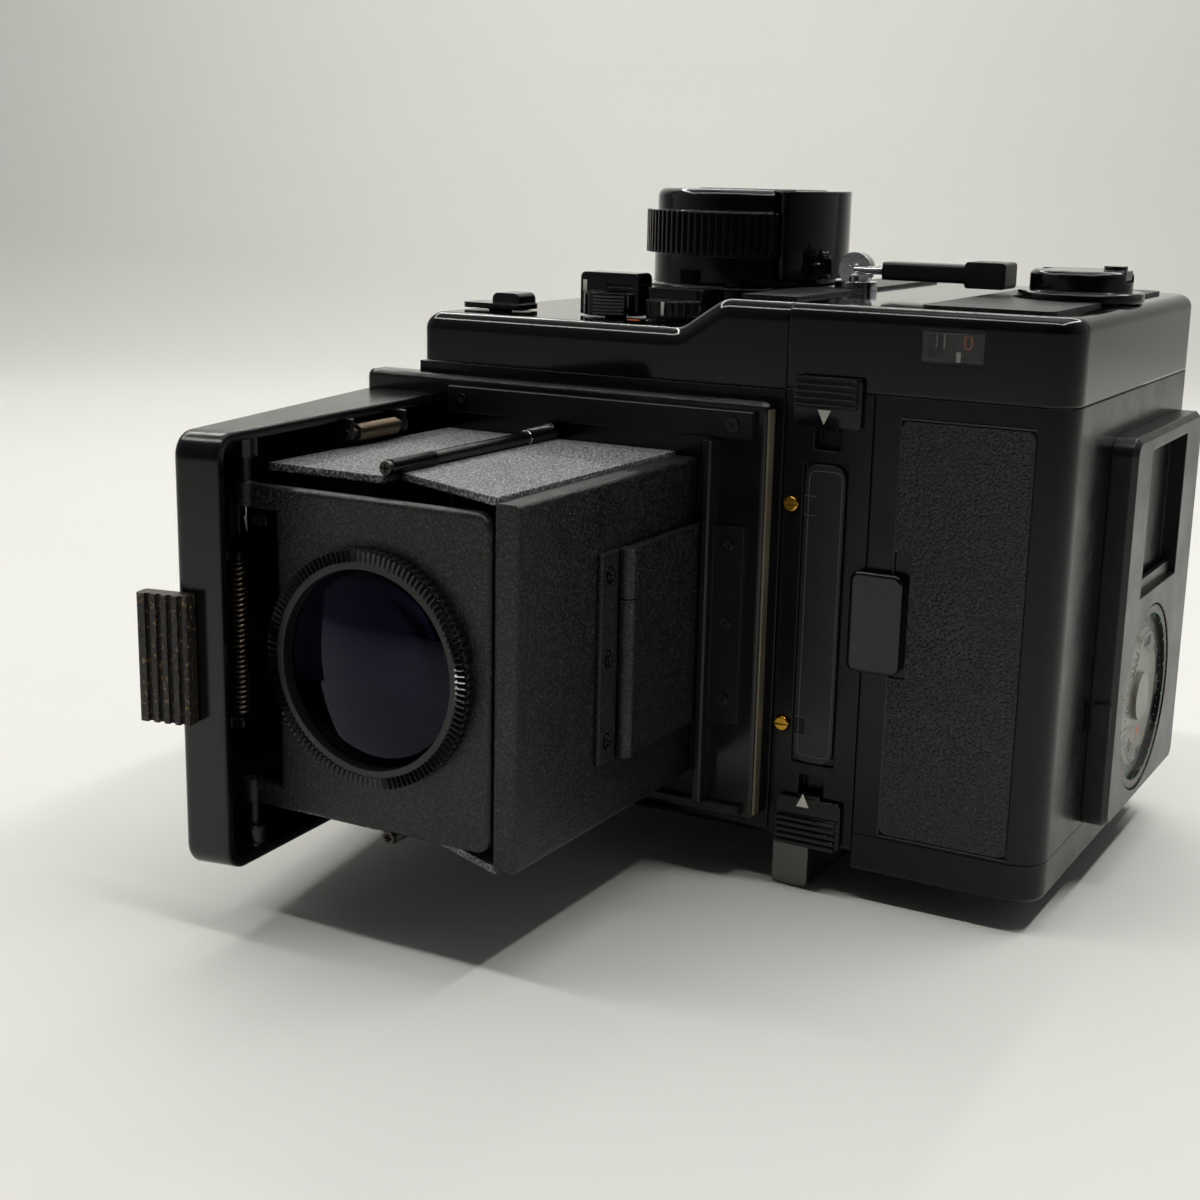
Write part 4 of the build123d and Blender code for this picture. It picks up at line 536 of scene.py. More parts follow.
class Mould:
    """One piece in the making: a bmesh in millimetres that is published as an object."""

    def __init__(self) -> None:
        """Start empty."""
        self.bm = bmesh.new()

    def box(self, low: Triple, high: Triple, bevel: float) -> "Mould":
        """Add a block, its edges rounded.

        Args:
            low: Lowest corner.
            high: Highest corner.
            bevel: Radius of the edges.

        Returns:
            This mould.
        """
        centre = [(a + b) / 2 for a, b in zip(low, high)]
        made = bmesh.ops.create_cube(self.bm, size=1.0)["verts"]
        bmesh.ops.scale(self.bm, vec=[b - a for a, b in zip(low, high)], verts=made)
        bmesh.ops.translate(self.bm, vec=centre, verts=made)
        edges = {edge for vert in made for edge in vert.link_edges}
        bmesh.ops.bevel(self.bm, geom=list(edges), offset=bevel, affect="EDGES", segments=3,
                        profile=0.5, material=-1)
        return self

    def cylinder(self, centre: Triple, axis: Triple, radius: float, length: float, segments: int) -> "Mould":
        """Add a cylinder from a centre along an axis.

        Args:
            centre: Centre of its first end.
            axis: Direction of its length.
            radius: Its radius.
            length: Its length.
            segments: Sides.

        Returns:
            This mould.
        """
        made = bmesh.ops.create_cone(self.bm, cap_ends=True, segments=segments, radius1=radius,
                                     radius2=radius, depth=length)["verts"]
        middle = Vector(centre) + Vector(axis).normalized() * length / 2
        bmesh.ops.transform(self.bm, matrix=standing(middle, axis), verts=made)
        return self

    def lathe(self, profile: Sequence[Pair], centre: Triple, axis: Triple, steps: int) -> "Mould":
        """Spin a closed profile of radius and height round an axis.

        Args:
            profile: Radius and height of each point, in order; the last joins the first.
            centre: Where height 0 lies.
            axis: Direction of height.
            steps: Facets round the turn.

        Returns:
            This mould.
        """
        chain = [self.bm.verts.new((radius, 0, height)) for radius, height in profile]
        edges = [self.bm.edges.new(pair) for pair in zip(chain, chain[1:] + chain[:1])]
        before = set(self.bm.verts) - set(chain)
        bmesh.ops.spin(self.bm, geom=chain + edges, cent=(0, 0, 0), axis=(0, 0, 1), angle=math.tau,
                       steps=steps, use_merge=True)
        made = [v for v in self.bm.verts if v not in before]
        bmesh.ops.remove_doubles(self.bm, verts=made, dist=0.0005)
        made = [v for v in self.bm.verts if v not in before]
        bmesh.ops.transform(self.bm, matrix=standing(Vector(centre), axis), verts=made)
        return self

    def thicken(self, faces: List[bmesh.types.BMFace], base: List[bmesh.types.BMVert], place: Matrix,
                thickness: float) -> "Mould":
        """Raise flat faces along their normal and carry them to their place.

        Args:
            faces: Faces that lie in the plane z = 0.
            base: Their corners.
            place: Matrix that carries the plane to its place.
            thickness: How far the faces rise.

        Returns:
            This mould.
        """
        grown = bmesh.ops.extrude_face_region(self.bm, geom=faces)["geom"]
        top = [item for item in grown if isinstance(item, bmesh.types.BMVert)]
        bmesh.ops.translate(self.bm, vec=(0, 0, thickness), verts=top)
        bmesh.ops.transform(self.bm, matrix=place, verts=base + top)
        return self

    def plate(self, outline: Sequence[Pair], place: Matrix, thickness: float) -> "Mould":
        """Add a flat plate from its outline.

        Args:
            outline: Corners in the plate's own plane, anticlockwise.
            place: Matrix that carries the plane to its place.
            thickness: How far it rises along the plane's normal.

        Returns:
            This mould.
        """
        base = [self.bm.verts.new((x, y, 0)) for x, y in outline]
        return self.thicken([self.bm.faces.new(base)], base, place, thickness)

    def frame_line(self, width: float, height: float, radius: float, place: Matrix, line: float,
                   thickness: float) -> "Mould":
        """Add a thin raised outline with rounded corners.

        Args:
            width: Size along the plane's first direction.
            height: Size along its second.
            radius: Corner radius.
            place: Matrix from the plane to its place.
            line: Width of the line.
            thickness: How far it rises.

        Returns:
            This mould.
        """
        rings = []
        for inset in (0.0, line):
            rings.append([self.bm.verts.new((x, y, 0)) for x, y in
                          rounded(width - 2 * inset, height - 2 * inset, max(radius - inset, 0.05))])
        outer, inner = rings
        faces = []
        for i in range(len(outer)):
            j = (i + 1) % len(outer)
            faces.append(self.bm.faces.new((outer[i], outer[j], inner[j], inner[i])))
        return self.thicken(faces, outer + inner, place, thickness)

    def words(self, text: str, size: float, place: Matrix, thickness: float = 0.04) -> "Mould":
        """Add plain figures, centred on their place.

        Args:
            text: The figures.
            size: Their height.
            place: Matrix from the plane to its place.
            thickness: How far they rise.

        Returns:
            This mould.
        """
        curve = bpy.data.curves.new("figures", "FONT")
        curve.body = text
        curve.size = size * FIGURE_SCALE
        curve.align_x = "CENTER"
        curve.align_y = "CENTER"
        curve.extrude = thickness / 2
        curve.resolution_u = 3
        carrier = bpy.data.objects.new("figures", curve)
        bpy.context.scene.collection.objects.link(carrier)
        bpy.context.view_layer.update()
        mesh = bpy.data.meshes.new_from_object(carrier.evaluated_get(bpy.context.evaluated_depsgraph_get()))
        mesh.transform(place)
        self.bm.from_mesh(mesh)
        bpy.data.objects.remove(carrier)
        bpy.data.curves.remove(curve)
        bpy.data.meshes.remove(mesh)
        return self

    def publish(self, name: str, surface: Surface, body: str = "camera",
                smooth: float = 35.0) -> bpy.types.Object:
        """Turn the bmesh into an object of the part.

        Args:
            name: The piece's name.
            surface: Its finish.
            body: The CAD body that it rides on.
            smooth: Angle in degrees below which edges are shaded smooth.

        Returns:
            The object.
        """
        bmesh.ops.remove_doubles(self.bm, verts=self.bm.verts, dist=0.0002)
        bmesh.ops.recalc_face_normals(self.bm, faces=self.bm.faces)
        bmesh.ops.scale(self.bm, vec=(MM, MM, MM), verts=self.bm.verts)
        for face in self.bm.faces:
            face.smooth = True
        limit = math.radians(smooth)
        for edge in self.bm.edges:
            edge.smooth = len(edge.link_faces) == 2 and edge.calc_face_angle(0.0) < limit
        mesh = bpy.data.meshes.new(name)
        self.bm.to_mesh(mesh)
        self.bm.free()
        mesh.materials.append(PAINT.get(surface))
        item = bpy.data.objects.new(name, mesh)
        bpy.context.scene.collection.objects.link(item)
        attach(item, body)
        LOG.info("piece %s on %s: %d faces", name, body, len(mesh.polygons))
        return item


def standing(spot: Vector, axis: Triple) -> Matrix:
    """Matrix that stands a shape made along Z on a spot, along an axis.

    Args:
        spot: Where its origin goes.
        axis: Where its Z direction goes.

    Returns:
        The placing matrix.
    """
    turn = Vector((0, 0, 1)).rotation_difference(Vector(axis)).to_matrix().to_4x4()
    return Matrix.Translation(spot) @ turn


def bar(half: float, low: float, high: float) -> List[Pair]:
    """Outline of an upright bar, by half its width and its two ends."""
    return [(-half, low), (half, low), (half, high), (-half, high)]


def winding(bore: float, root: float, rise: float, turns: int, pitch: float) -> List[Pair]:
    """Profile of wire wound close on a tube: one half-round for each turn.

    The turns are closed rings side by side, not one running helix.

    Args:
        bore: Radius of the hollow inside.
        root: Radius of the valleys between turns.
        rise: How far each turn stands above its valleys.
        turns: Number of turns.
        pitch: Distance between them.

    Returns:
        Radius and height of each point.
    """
    profile = [(bore, 0.0)]
    steps = 5
    for turn in range(turns):
        for step in range(steps):
            bulge = math.sin(math.pi * step / steps)
            profile.append((root + rise * bulge, (turn + step / steps) * pitch))
    return profile + [(root, turns * pitch), (bore, turns * pitch)]


def rounded(width: float, height: float, radius: float, per_corner: int = 5) -> List[Pair]:
    """Outline of a rectangle with rounded corners, centred, anticlockwise.

    Args:
        width: Full width.
        height: Full height.
        radius: Corner radius.
        per_corner: Steps round each corner.

    Returns:
        The points.
    """
    points = []
    for corner, (sx, sy) in enumerate(((1, 1), (-1, 1), (-1, -1), (1, -1))):
        cx = sx * (width / 2 - radius)
        cy = sy * (height / 2 - radius)
        for step in range(per_corner + 1):
            angle = math.radians(90 * corner + 90 * step / per_corner)
            points.append((cx + radius * math.cos(angle), cy + radius * math.sin(angle)))
    return points


def facing(origin: Triple, right: Triple, up: Triple) -> Matrix:
    """Matrix of a plane: its first direction, its second, and their normal.

    Args:
        origin: Where the plane's origin lies.
        right: Direction of its first axis.
        up: Direction of its second axis.

    Returns:
        The placing matrix.
    """
    x_axis = Vector(right).normalized()
    y_axis = Vector(up).normalized()
    z_axis = x_axis.cross(y_axis)
    matrix = Matrix((x_axis, y_axis, z_axis)).transposed().to_4x4()
    matrix.translation = Vector(origin)
    return matrix


def around(axis: Triple, angle: float, centre: Triple) -> Matrix:
    """Turn about an axis through a centre.

    Args:
        axis: Direction of the axis.
        angle: Degrees.
        centre: A point on the axis.

    Returns:
        The turning matrix.
    """
    spot = Matrix.Translation(Vector(centre))
    return spot @ Matrix.Rotation(math.radians(angle), 4, Vector(axis)) @ spot.inverted()


# Sub-assemblies

@dataclass
class CadFinishes:
    """Puts each CAD node's finish into its material slots."""

    plan: Dict[Surface, Tuple[str, ...]] = field(default_factory=lambda: dict(NODE_FINISH))

    def build(self) -> None:
        """Dress every node and report any that the plan leaves out."""
        dressed = set()
        for surface, names in self.plan.items():
            for name in names:
                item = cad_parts[name]
                item.data.materials.clear()
                item.data.materials.append(PAINT.get(surface))
                dressed.add(name)
        for name in set(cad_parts) - dressed:
            LOG.warning("node %s has no finish", name)


def ring_of_figures(mould: Mould, labels: Sequence[str], centre: Triple, normal: Triple, start: Triple,
                    radius: float, size: float, sweep: float = 360.0) -> Mould:
    """Set plain figures round a circle, their heads outwards.

    Args:
        mould: Mould that receives them.
        labels: The figures in order.
        centre: Centre of the circle, on the face that carries them.
        normal: The face's outward direction.
        start: Direction of the first one from the centre.
        radius: Distance of the figures from the centre.
        size: Height of the figures.
        sweep: Degrees that the whole row covers.

    Returns:
        The mould.
    """
    for index, label in enumerate(labels):
        turn = Matrix.Rotation(math.radians(sweep * index / len(labels)), 3, Vector(normal))
        up = turn @ Vector(start).normalized()
        right = up.cross(Vector(normal))
        mould.words(label, size, facing(tuple(Vector(centre) + up * radius), tuple(right), tuple(up)))
    return mould


@dataclass
class Marks:
    """Painted index marks, arrows, triangles and dial figures."""

    lift: float = 0.05
    catch_y: float = -86.06
    catches: Tuple[Tuple[str, float, float, int], ...] = (("upper_catch", 41.4, 36.5, -1),
                                                          ("lower_catch", 40.9, -30.1, 1))
    plate_centre: Triple = (42.0, -85.3, 2.6)
    plate_size: Pair = (6.0, 49.6)
    plate_corner: float = 1.3
    plate_line: float = 0.14
    slot_heights: Pair = (21.4, -17.0)
    slot_half: float = 1.6
    slot_left: float = 38.25
    slot_right: float = 40.2
    slot_foot: float = -85.2
    slot_top: float = -85.33
    lip_right: float = 40.4
    lip_top: float = -85.36
    lip_half: float = 0.06
    lever_bar: Span = ((-13.7, -70.66, 53.6), (-12.9, -70.56, 55.6))
    lever_axis: Pair = (-8.2, -68.0)
    rib_radii: Pair = (6.16, 5.90)
    rib_count: int = 6
    rib_low: float = 49.8
    rib_pitch: float = 0.6
    rib_height: float = 0.26
    knob_bar: Span = ((4.3, -74.05, 50.2), (4.9, -73.93, 52.6))
    exposure_bar: Span = ((-1.6, -75.6, 49.2), (0.6, -75.0, 49.28))
    shutter_centre: Triple = (-8.0, -38.0, -46.76)
    shutter_radius: float = 13.2
    shutter_sweep: float = 330.0
    shutter_size: float = 2.0
    shutter_numbers: Tuple[str, ...] = ("1", "2", "4", "8", "15", "30", "60", "125", "250", "500")
    speed_centre: Triple = (86.26, -39.0, -15.4)
    speed_radius: float = 10.2
    speed_size: float = 1.9
    tick_count: int = 48
    tick_reach: float = 12.3
    index_angle: float = 68.0
    index_reach: float = 7.2
    speed_numbers: Tuple[str, ...] = ("25", "50", "100", "200", "400", "800", "1600", "3200")
    ring_x: float = 86.42
    ring_count: int = 16
    ring_start: float = 11.0
    ring_reach: float = 14.9
    counter_centre: Triple = (62.2, -73.0, 0.0)
    counter_shift: float = 1.6
    counter_y: float = -82.05
    counter_z: float = 49.6
    counter_size: float = 2.6
    counter_frames: int = 12
    counter_bar: Span = ((62.6, -84.08, 46.7), (63.3, -83.9, 48.3))
    arrow_spot: Triple = (-36.73, -138.48, 20.0)
    arrow_across: Triple = (-0.182, 0.983, 0.0)

    def build(self) -> None:
        """Make every group of marks on its body."""
        self.catch_marks()
        self.name_plate()
        self.lever_marks()
        self.shutter_figures()
        self.speed_figures()
        self.counter_figures()
        self.lid_arrow()

    def catch_marks(self) -> None:
        """The two pale triangles that point at the catches."""
        for catch, x, z, point in self.catches:
            plane = facing((x, self.catch_y, z), BACKWARDS, UPWARDS)
            outline = [(-1.15, -point * 1.1), (1.15, -point * 1.1), (0, point * 1.3)]
            if point < 0:
                outline.reverse()
            mould = Mould().plate(outline, plane, self.lift)
            mould.publish(f"{catch}_mark", Surface.WHITE_INK, f"{catch}_body")

    def name_plate(self) -> None:
        """The bare name plate's thin outline, a painted highlight on its raised edge, and the small slots
        beside the two pins, their dark a painted shade and the grey lips at their ends painted highlights.
        """
        plane = facing(self.plate_centre, BACKWARDS, UPWARDS)
        mould = Mould().frame_line(*self.plate_size, self.plate_corner, plane, self.plate_line, self.lift)
        mould.publish("name_plate_outline", Surface.GREY_LINE)
        slots, lips = Mould(), Mould()
        left, foot, half, lip = self.slot_left, self.slot_foot, self.slot_half, self.lip_half
        for z in self.slot_heights:
            slots.box((left, self.slot_top, z - half), (self.slot_right, foot, z + half), 0.05)
            for end in (z + half, z - half):
                lips.box((left, self.lip_top, end - lip), (self.lip_right, foot, end + lip), 0.02)
        # The slots' dark boxes are a painted shade of their recesses.
        slots.publish("pin_slot_shade", Surface.DEAD_BLACK)
        # The grey lips at the slot ends are painted highlights.
        lips.publish("pin_slot_lips", Surface.GREY_LINE)

    def lever_marks(self) -> None:
        """White bars on the small top controls, grey ribs whose grey is a painted highlight on their ridges,
        and the orange mark beside them.
        """
        mould = Mould().box(*self.lever_bar, 0.04)
        mould.publish("mirror_lever_index", Surface.WHITE_INK, "mirror_lever_body")
        turns = [math.radians(angle) for angle in range(-14, 45, 4)]
        outer, inner = self.rib_radii
        outline = [(outer * math.sin(turn), -outer * math.cos(turn)) for turn in turns]
        outline += [(inner * math.sin(turn), -inner * math.cos(turn)) for turn in reversed(turns)]
        mould = Mould()
        for index in range(self.rib_count):
            place = Matrix.Translation((*self.lever_axis, self.rib_low + self.rib_pitch * index))
            mould.plate(outline, place, self.rib_height)
        mould.publish("mirror_lever_ribs", Surface.GREY_LINE, "mirror_lever_body")
        mould = Mould().box(*self.knob_bar, 0.04)
        mould.publish("exposure_knob_index", Surface.WHITE_INK, "exposure_knob_body")
        mould = Mould().box(*self.exposure_bar, 0.03)
        mould.publish("exposure_mark", Surface.ORANGE_INK)

    def shutter_figures(self) -> None:
        """Plain shutter figures round the dial on the resting side."""
        mould = ring_of_figures(Mould(), self.shutter_numbers, self.shutter_centre, (0, 0, -1), OPENING,
                                self.shutter_radius, self.shutter_size, self.shutter_sweep)
        mould.publish("shutter_figures", Surface.WHITE_INK, "shutter_dial_body")

    def dial_ticks(self, count: int, start: float, x: float, reach: float, outline: Sequence[Pair]) -> Mould:
        """Repeat a small flat mark round the film door's dial.

        Args:
            count: How many marks share the turn.
            start: Degrees to the first of them.
            x: Height of the face that carries them.
            reach: Their distance from the dial's axis.
            outline: Shape of one mark, its top pointing outwards.

        Returns:
            The mould that holds them.
        """
        mould = Mould()
        _, y, z = self.speed_centre
        plane = facing((x, y - reach, z), UPWARDS, OPENING)
        for index in range(count):
            spoke = around(BACKWARDS, start + 360.0 * index / count, self.speed_centre)
            mould.plate(outline, spoke @ plane, self.lift)
        return mould

    def speed_figures(self) -> None:
        """Plain film-speed figures, ticks and an index on the dial of the film door."""
        face_x = self.speed_centre[0]
        body = "speed_dial_body"
        mould = ring_of_figures(Mould(), self.speed_numbers, self.speed_centre, BACKWARDS, OPENING,
                                self.speed_radius, self.speed_size)
        mould.publish("speed_figures", Surface.BLACK_INK, body)
        ticks = self.dial_ticks(self.tick_count, 0.0, face_x, self.tick_reach, bar(0.08, -0.5, 0.3))
        ticks.publish("speed_ticks", Surface.BLACK_INK, body)
        ticks = self.dial_ticks(self.ring_count, self.ring_start, self.ring_x, self.ring_reach,
                                bar(0.12, -0.6, 0.6))
        ticks.publish("ring_ticks", Surface.GREEN_INK, body)
        index = self.dial_ticks(1, self.index_angle, face_x + 0.02, self.index_reach,
                                [(-0.7, -1.5), (0.7, -1.5), (0, 0.9)])
        index.publish("speed_index", Surface.ORANGE_INK, body)

    def counter_figures(self) -> None:
        """Frame numbers round the counting drum, with the white index in its window."""
        numbers, first = Mould(), Mould()
        spot = (self.counter_centre[0] + self.counter_shift, self.counter_y, self.counter_z)
        plane = facing(spot, BACKWARDS, UPWARDS)
        for index in range(self.counter_frames):
            spoke = around(UPWARDS, 360.0 * index / self.counter_frames, self.counter_centre)
            (numbers if index else first).words(str(index), self.counter_size, spoke @ plane)
        numbers.publish("counter_numbers", Surface.WHITE_INK, "counter_body")
        first.publish("counter_start_number", Surface.ORANGE_INK, "counter_body")
        mould = Mould().box(*self.counter_bar, 0.03)
        mould.publish("counter_index", Surface.WHITE_INK)

    def lid_arrow(self) -> None:
        """The white arrow on the lid's latch that shows which way it slides."""
        plane = facing(self.arrow_spot, self.arrow_across, UPWARDS)
        outline = [(0.12, -3.2), (0.16, 3.2), (-0.12, 3.2), (-0.22, -0.5), (-0.75, -0.5)]
        Mould().plate(outline, plane, self.lift).publish("lid_arrow", Surface.WHITE_INK, "lid_latch_body")


@dataclass
class HoodTrim:
    """Small fittings of the folding hood: painted shade in the screw recesses, springs, windings and a ridged
    rim.
    """

    rim_ribs: int = 120
    rim_centre: Triple = (-6.6, -147.3, 0.0)
    rim_inner: float = 16.9
    rim_outer: float = 18.7
    rib_share: float = 0.86
    rib_height: float = 0.42
    recess: float = 0.75
    small_recess: float = 0.6
    recess_line: float = 0.16
    spring_x: float = -30.0
    spring_y: float = -107.0
    spring_z: float = 31.3
    spring_bore: float = 0.9
    spring_root: float = 1.2
    spring_rise: float = 0.30
    spring_turns: int = 20
    spring_pitch: float = 0.55
    pin_y: float = -104.0
    pin_radius: float = 0.85
    pin_length: float = 17.0
    bracket_z: float = 33.9
    bracket_ys: Pair = (-105.0, -120.0)
    base_edge: Span = ((32.75, -89.12, -33.4), (33.12, -87.0, 37.2))
    rod_x: float = -8.4
    rod_z: float = 30.05
    rod_bore: float = 1.0
    wire_rise: float = 0.22
    wire_pitch: float = 0.43
    sleeves: Tuple[Tuple[float, int, float], ...] = ((-126.4, 27, 1.34), (-89.5, 19, 1.42))
    collar_y: float = -98.0
    collar: Tuple[Pair, ...] = ((1.0, 0.0), (1.30, 0.05), (1.36, 0.2), (1.36, 0.5), (1.30, 0.65), (1.0, 0.7))

    def build(self) -> None:
        """Make the hood's fittings."""
        self.screw_recesses()
        self.flap_springs()
        self.ribbed_rim()
        self.worn_edge()
        self.rod_sleeves()

    def screw_recesses(self) -> None:
        """Painted shade of the cross recesses in the screw heads: thin dark crosses laid on them."""
        places = [((21.2, -120.0, z), BACKWARDS, self.recess) for z in (-13.6, 0.0, 13.6)]
        places += [((self.rod_x, -139.1, z), OPENING, self.recess) for z in (self.rod_z, -self.rod_z)]
        places += [((27.0, -90.9, z), OPENING, self.small_recess) for z in (14.2, 0.6, -13.0)]
        places += [((x, -90.9, 34.4), OPENING, self.recess) for x in (-27.0, 27.0)]
        mould = Mould()
        for index, (spot, axis, reach) in enumerate(places):
            up = Matrix.Rotation(0.4 + 0.9 * index, 3, Vector(axis)) @ Vector(UPWARDS)
            plane = facing(spot, tuple(up.cross(Vector(axis))), tuple(up))
            for half, end in ((reach, self.recess_line), (self.recess_line, reach)):
                mould.plate(bar(half, -end, end), plane, 0.02)
        mould.publish("screw_recesses", Surface.DEAD_BLACK)

    def flap_springs(self) -> None:
        """The close-wound springs in the lid's corners that throw the side leaves out."""
        profile = winding(self.spring_bore, self.spring_root, self.spring_rise, self.spring_turns,
                          self.spring_pitch)
        x, y = self.spring_x, self.spring_y
        for side, name in SIDES:
            z = side * self.spring_z
            mould = Mould().lathe(profile, (x, y, z), OPENING, 28)
            mould.cylinder((x, y - 0.2, z + side * 0.9), (-0.4, 0.1, -side * 0.2), 0.26, 4.0, 10)
            mould.publish(f"flap_spring_{name}", Surface.SPRING_WIRE)
            pin = Mould().cylinder((x, self.pin_y, z), OPENING, self.pin_radius, self.pin_length, 20)
            low, high = sorted((z - side, side * self.bracket_z))
            for middle in self.bracket_ys:
                pin.box((x - 1.0, middle - 0.6, low), (x + 1.0, middle + 0.6, high), 0.3)
            pin.publish(f"flap_spring_pin_{name}", Surface.BLACK_ANODISED)

    def worn_edge(self) -> None:
        """The worn bright rear edge of the finder base."""
        mould = Mould().box(*self.base_edge, 0.08)
        mould.publish("finder_base_edge", Surface.BARE_EDGE)

    def rod_sleeves(self) -> None:
        """Fine windings round both ends of the two hood rods, with a bright collar by the inner one."""
        for side, name in SIDES:
            z = side * self.rod_z
            mould = Mould()
            for start, turns, reach in self.sleeves:
                root = reach - self.wire_rise
                profile = winding(self.rod_bore, root, self.wire_rise, turns, self.wire_pitch)
                mould.lathe(profile, (self.rod_x, start, z), OPENING, 32)
            mould.publish(f"rod_sleeve_{name}", Surface.RIM_PAINT)
            mould = Mould().lathe(self.collar, (self.rod_x, self.collar_y, z), OPENING, 32)
            mould.publish(f"rod_collar_{name}", Surface.CHROME)

    def ribbed_rim(self) -> None:
        """Fine ridges round the magnifier's rim, for screwing its glass out."""
        mould = Mould()
        reach = self.rim_outer - self.rim_inner
        half = math.pi * self.rim_inner / self.rim_ribs * self.rib_share
        start = (self.rim_centre[0] + self.rim_inner, self.rim_centre[1] + 0.06, 0)
        plane = facing(start, UPWARDS, OPENING)
        for index in range(self.rim_ribs):
            spoke = around((0, 1, 0), 360.0 * index / self.rim_ribs, self.rim_centre)
            mould.plate([(-half, 0.0), (half, 0.0), (0.0, self.rib_height)], spoke @ plane, reach)
        mould.publish("magnifier_rim_ribs", Surface.RIM_PAINT, "magnifier", smooth=20.0)


@dataclass
class BackTrim:
    """Bead, contacts and the carton end of the film back."""

    leather_left: float = 54.5
    leather_right: float = 76.8
    leather_low: float = -33.6
    leather_high: float = 37.1
    bead: float = 0.22
    bead_top: float = -85.56
    bead_foot: float = -84.9
    contact_x: float = 48.1
    contact_heights: Pair = (4.9, 1.0)
    card: Span = ((83.0, -49.6, 4.4), (83.5, -22.8, 30.9))

    def build(self) -> None:
        """Make the film back's trim."""
        left, right, low, high = self.leather_left, self.leather_right, self.leather_low, self.leather_high
        runs = ((left, low, left + self.bead, high),
                (left, high, right, high + self.bead),
                (left, low - self.bead, right, low))
        mould = Mould()
        for x0, z0, x1, z1 in runs:
            mould.box((x0, self.bead_top, z0), (x1, self.bead_foot, z1), 0.05)
        mould.publish("door_leather_bead", Surface.BEAD, "door")
        mould = Mould()
        for z in self.contact_heights:
            mould.cylinder((self.contact_x, -84.9, z), OPENING, 0.28, 0.25, 12)
        mould.publish("back_contacts", Surface.BRASS)
        mould = Mould().box(*self.card, 0.05)
        mould.publish("carton_end", Surface.CARD, "door")


